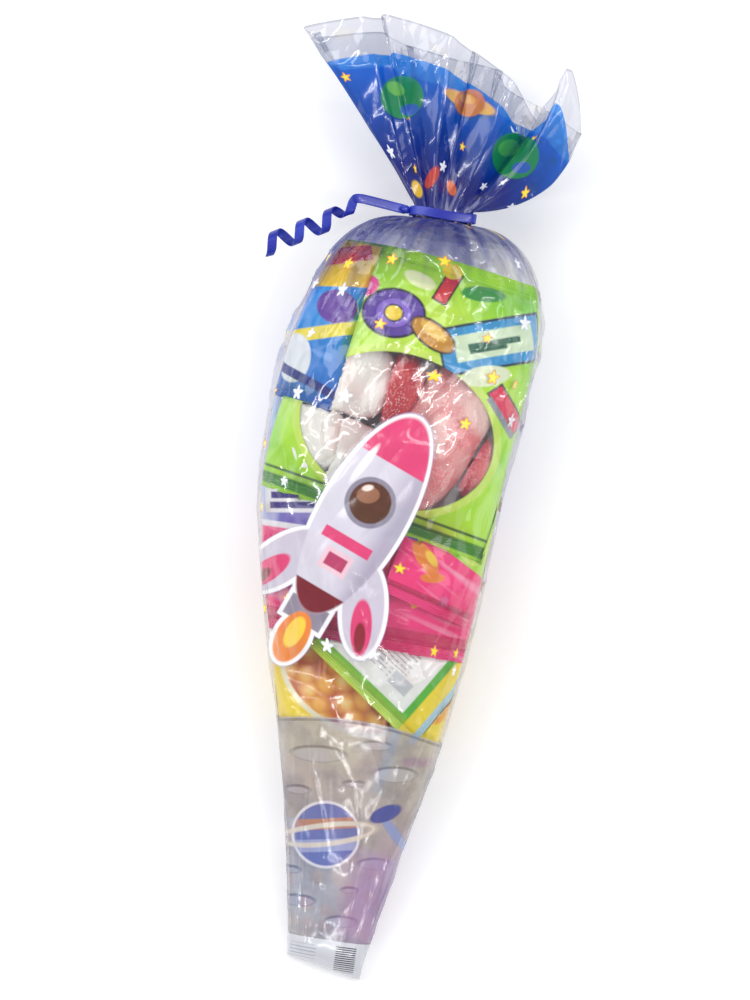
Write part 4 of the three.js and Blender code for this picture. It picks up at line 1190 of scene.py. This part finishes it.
# %% The ribbon's measure
RIBBON_WIDTH, RIBBON_THICKNESS, LOOSENESS = 5.0, 0.7, 0.45
KNOT_SIZE, KNOT_FLATNESS = 8.0, 0.75
LEAD = np.array([-26.0, 2.0, 10.0])
CURL_TURNS, CURL_PITCH, CURL_RADIUS, CURL_FALL = 3.5, 15.5, 6.5, 30.0
NECK_MIDDLE = np.array([NECK_SHIFT, BODY_LENGTH + NECK_LENGTH / 2, NECK_HEIGHT])
band_out = NECK_PLEAT + LOOSENESS + RIBBON_THICKNESS / 2
band_half = np.array([NECK_WIDTH / 2 + band_out, NECK_DEPTH / 2 + band_out])
knot_middle = NECK_MIDDLE - [band_half[0] - RIBBON_THICKNESS / 2 + KNOT_FLATNESS * KNOT_SIZE / 2, 0, 0]


# %% Ribbon surfaces
STRIP_AROUND, BAND_STEPS, LEAD_STEPS, CURL_STEPS = 20, 160, 24, 200
TWIST_STEPS, SMOOTHING = 30, 6
KNOT_AROUND, KNOT_ROWS = 64, 40
EDGE_POWER, FACE_POWER = 5, 3


def strip_points(middle, across, face, width, thickness):
    """Carries a thin rounded bar along a path: its section is a superellipse in across and face."""
    angle = (np.arange(STRIP_AROUND) + 0.5) / STRIP_AROUND * 2 * np.pi
    u = signed_power(np.cos(angle), EDGE_POWER) * width / 2
    v = signed_power(np.sin(angle), FACE_POWER) * thickness / 2
    return middle[:, None] + across[:, None] * u[None, :, None] + face[:, None] * v[None, :, None]


def unit(vectors):
    """Vectors made one long."""
    return vectors / np.linalg.norm(vectors, axis=-1, keepdims=True)


def band_frames():
    """The band's path: an oval round the neck, a little wavy, its width along the neck."""
    turn = np.arange(BAND_STEPS) / BAND_STEPS * 2 * np.pi
    wave = 0.35 * np.sin(turn * 3 + 1)
    middle = NECK_MIDDLE + np.stack([np.cos(turn) * band_half[0], wave, np.sin(turn) * band_half[1]], 1)
    across = np.tile([0.0, 1.0, 0.0], (BAND_STEPS, 1))
    face = unit(np.stack([np.cos(turn) * band_half[1], 0 * turn, np.sin(turn) * band_half[0]], 1))
    return middle, across, face


def tail_frames():
    """The long end: a straight lead, then a corkscrew about a falling axis that widens as it goes."""
    fall = math.radians(CURL_FALL)
    axis = np.array([-math.cos(fall), -math.sin(fall), 0])
    side, up = np.array([math.sin(fall), -math.cos(fall), 0]), np.array([0, 0, 1.0])
    start = knot_middle + LEAD
    turns = np.linspace(0, CURL_TURNS, CURL_STEPS)[:, None]
    radius = CURL_RADIUS * np.minimum(1, 0.35 + 0.5 * turns)
    angle = 2 * np.pi * turns
    curl = start + axis * CURL_PITCH * turns + up * radius * np.sin(angle)
    curl = curl + side * radius * (1 - np.cos(angle)) * 0.9
    lead = knot_middle + LEAD * np.linspace(0, 1, LEAD_STEPS, endpoint=False)[:, None]
    middle = np.concatenate([lead, curl])
    padded = np.pad(middle, ((SMOOTHING, SMOOTHING), (0, 0)), mode="reflect", reflect_type="odd")
    window = 2 * SMOOTHING + 1
    middle = sum(padded[k:k + len(middle)] for k in range(window)) / window
    tangent = unit(np.gradient(middle, axis=0))
    share = np.clip((np.arange(len(middle)) - LEAD_STEPS) / TWIST_STEPS, 0, 1)[:, None]
    wish = mix(np.array([0, 1.0, 0]), axis, share)
    across = unit(wish - tangent * (wish * tangent).sum(1, keepdims=True))
    return middle, across, unit(np.cross(across, tangent))


def strip_uv(middle):
    """Print coordinates along and round a strip."""
    gone = np.concatenate([[0], np.cumsum(np.linalg.norm(np.diff(middle, axis=0), axis=1))])
    turned = np.linspace(0, 2, STRIP_AROUND + 1) * RIBBON_WIDTH
    return np.stack(np.meshgrid(gone * MM, turned * MM, indexing="ij"), -1)


def knot_points():
    """A small lump with two wraps of ribbon raised on it."""
    angle = np.arange(KNOT_AROUND) / KNOT_AROUND * 2 * np.pi
    rise = np.linspace(-POLE, POLE, KNOT_ROWS)[:, None] * np.pi / 2
    ball = unit_ball(rise, angle)
    wraps = 0.07 * np.tanh(6 * np.cos(3 * (ball[..., 0] * 1.1 + ball[..., 1] * 1.4 + ball[..., 2])))
    ball = ball * (0.93 + wraps)[..., None]
    return knot_middle + ball * np.array([KNOT_FLATNESS * KNOT_SIZE, RIBBON_WIDTH, KNOT_SIZE]) / 2


def ribbon_material():
    """Glossy blue ribbon with fine ribs across it; lighter patches are painted highlight, darker ones vary at
    random.
    """
    plate = Plate("curling_ribbon_blue")
    along, _ = plate.print_mm()
    ribs = plate.math("PINGPONG", plate.math("MULTIPLY", along, 1.6), 0.5)
    grain = plate.bump(plate.total(plate.both(ribs, 0.5), plate.noise(300.0, 2.0)), 0.3, 0.2)
    # Painted highlight: the lighter blue patches stand for sheen on the ribbon; the darker patches are random
    # tone.
    colour = plate.over(ink("1826a0"), ink("3044c0"), plate.ramp(plate.noise(45.0, 2.0), 0.42, 0.66))
    colour = plate.over(colour, ink("12206f"), plate.both(plate.ramp(plate.noise(90.0, 2.0), 0.5, 0.75), 0.5))
    satin = plate.solid(colour, 0.34, grain, Coat_Weight=0.15)
    return plate.finish(satin.outputs[0])


ribbon_blue = ribbon_material()
band_middle, band_across, band_face = band_frames()
tail_middle, tail_across, tail_face = tail_frames()
tail_length = np.linalg.norm(np.diff(tail_middle, axis=0), axis=1).sum()
band_points = strip_points(band_middle, band_across, band_face, RIBBON_WIDTH, RIBBON_THICKNESS)
tail_points = strip_points(tail_middle, tail_across, tail_face, RIBBON_WIDTH, RIBBON_THICKNESS)
band_uv = strip_uv(np.concatenate([band_middle, band_middle[:1]]))
knot = knot_points()[::-1]
knot_uv = np.concatenate([knot[..., :2], knot[:, :1, :2]], 1) * MM
ribbon_meshes = [
    grid_mesh("ribbon_band", to_frame(band_points), band_uv, True, looped=True),
    grid_mesh("ribbon_tail", to_frame(tail_points), strip_uv(tail_middle), True, (True, True)),
    grid_mesh("ribbon_knot", to_frame(knot), knot_uv, True, (True, True)),
]
for mesh in ribbon_meshes:
    part = new_object(mesh.name, mesh)
    mesh.materials.append(ribbon_blue)
    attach(part, "root")
    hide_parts("curling_ribbon")
print("curled end:", round(float(tail_length)), "mm of ribbon")

# %% [markdown]
# ## The picture
# The photo looks straight down on a white table, with the cone turned a little to the right. Two broad
# soft lights give the even sheen; a few narrow ones make the white sparkle on the film's creases.

# %% Table
def white_table():
    """A large matt white ground with a very faint mottle."""
    plate = Plate("white_table")
    mottle = plate.over(ink("fafafa"), ink("f4f4f6"), plate.noise(3.0, 2.0))
    kind = "ShaderNodeBsdfPrincipled"
    matt = plate.add(kind, Base_Color=mottle, Roughness=0.9, Emission_Color=mottle, Emission_Strength=0.16)
    return plate.finish(matt.outputs[0])


floor_mesh = bpy.data.meshes.new("table")
floor_mesh.from_pydata([(-6, -6, 0), (6, -6, 0), (6, 6, 0), (-6, 6, 0)], [], [(0, 1, 2, 3)])
floor_mesh.materials.append(white_table())
floor = new_object("table", floor_mesh)
floor.location.z = -0.0005

# %% Camera
TURN = math.radians(8.394)
camera_data = bpy.data.cameras.new("photo_camera")
camera_data.sensor_fit, camera_data.sensor_height, camera_data.lens = "VERTICAL", 24.0, 99.6
camera = bpy.data.objects.new("photo_camera", camera_data)
camera.location, camera.rotation_euler = (-0.0021, 0.0020, 2.25), (0, 0, TURN)
bpy.context.scene.collection.objects.link(camera)
bpy.context.scene.camera = camera

# %% Lights
LIGHTS = [
    ("left_window", (-0.9, 0.5, 1.1), (0.9, 0.9), 7.1),
    ("right_window", (1.0, 0.1, 1.2), (0.7, 1.1), 4.8),
    ("left_strip", (-0.55, -0.1, 0.75), (0.026, 0.9), 1.7),
    ("right_strip", (0.5, 0.15, 0.8), (0.026, 0.8), 1.7),
    ("top_strip", (0.1, 0.9, 0.8), (0.8, 0.026), 1.6),
    ("low_strip", (0.0, -0.8, 0.9), (0.7, 0.026), 1.3),
]  # name, place, size and power in watts
for name, place, size, power in LIGHTS:
    light = bpy.data.lights.new(name, "AREA")
    light.shape, light.size, light.size_y, light.energy = "RECTANGLE", size[0], size[1], power
    lamp = bpy.data.objects.new(name, light)
    lamp.location = place
    lamp.rotation_euler = (Vector((0, 0, 0.03)) - lamp.location).to_track_quat("-Z", "Y").to_euler()
    bpy.context.scene.collection.objects.link(lamp)

world = bpy.data.worlds.new("white_room")
world.use_nodes = True
world.node_tree.nodes["Background"].inputs[0].default_value = (0.985, 0.985, 0.995, 1)
world.node_tree.nodes["Background"].inputs[1].default_value = 0.46
bpy.context.scene.world = world
bpy.context.scene.view_settings.view_transform = "Standard"
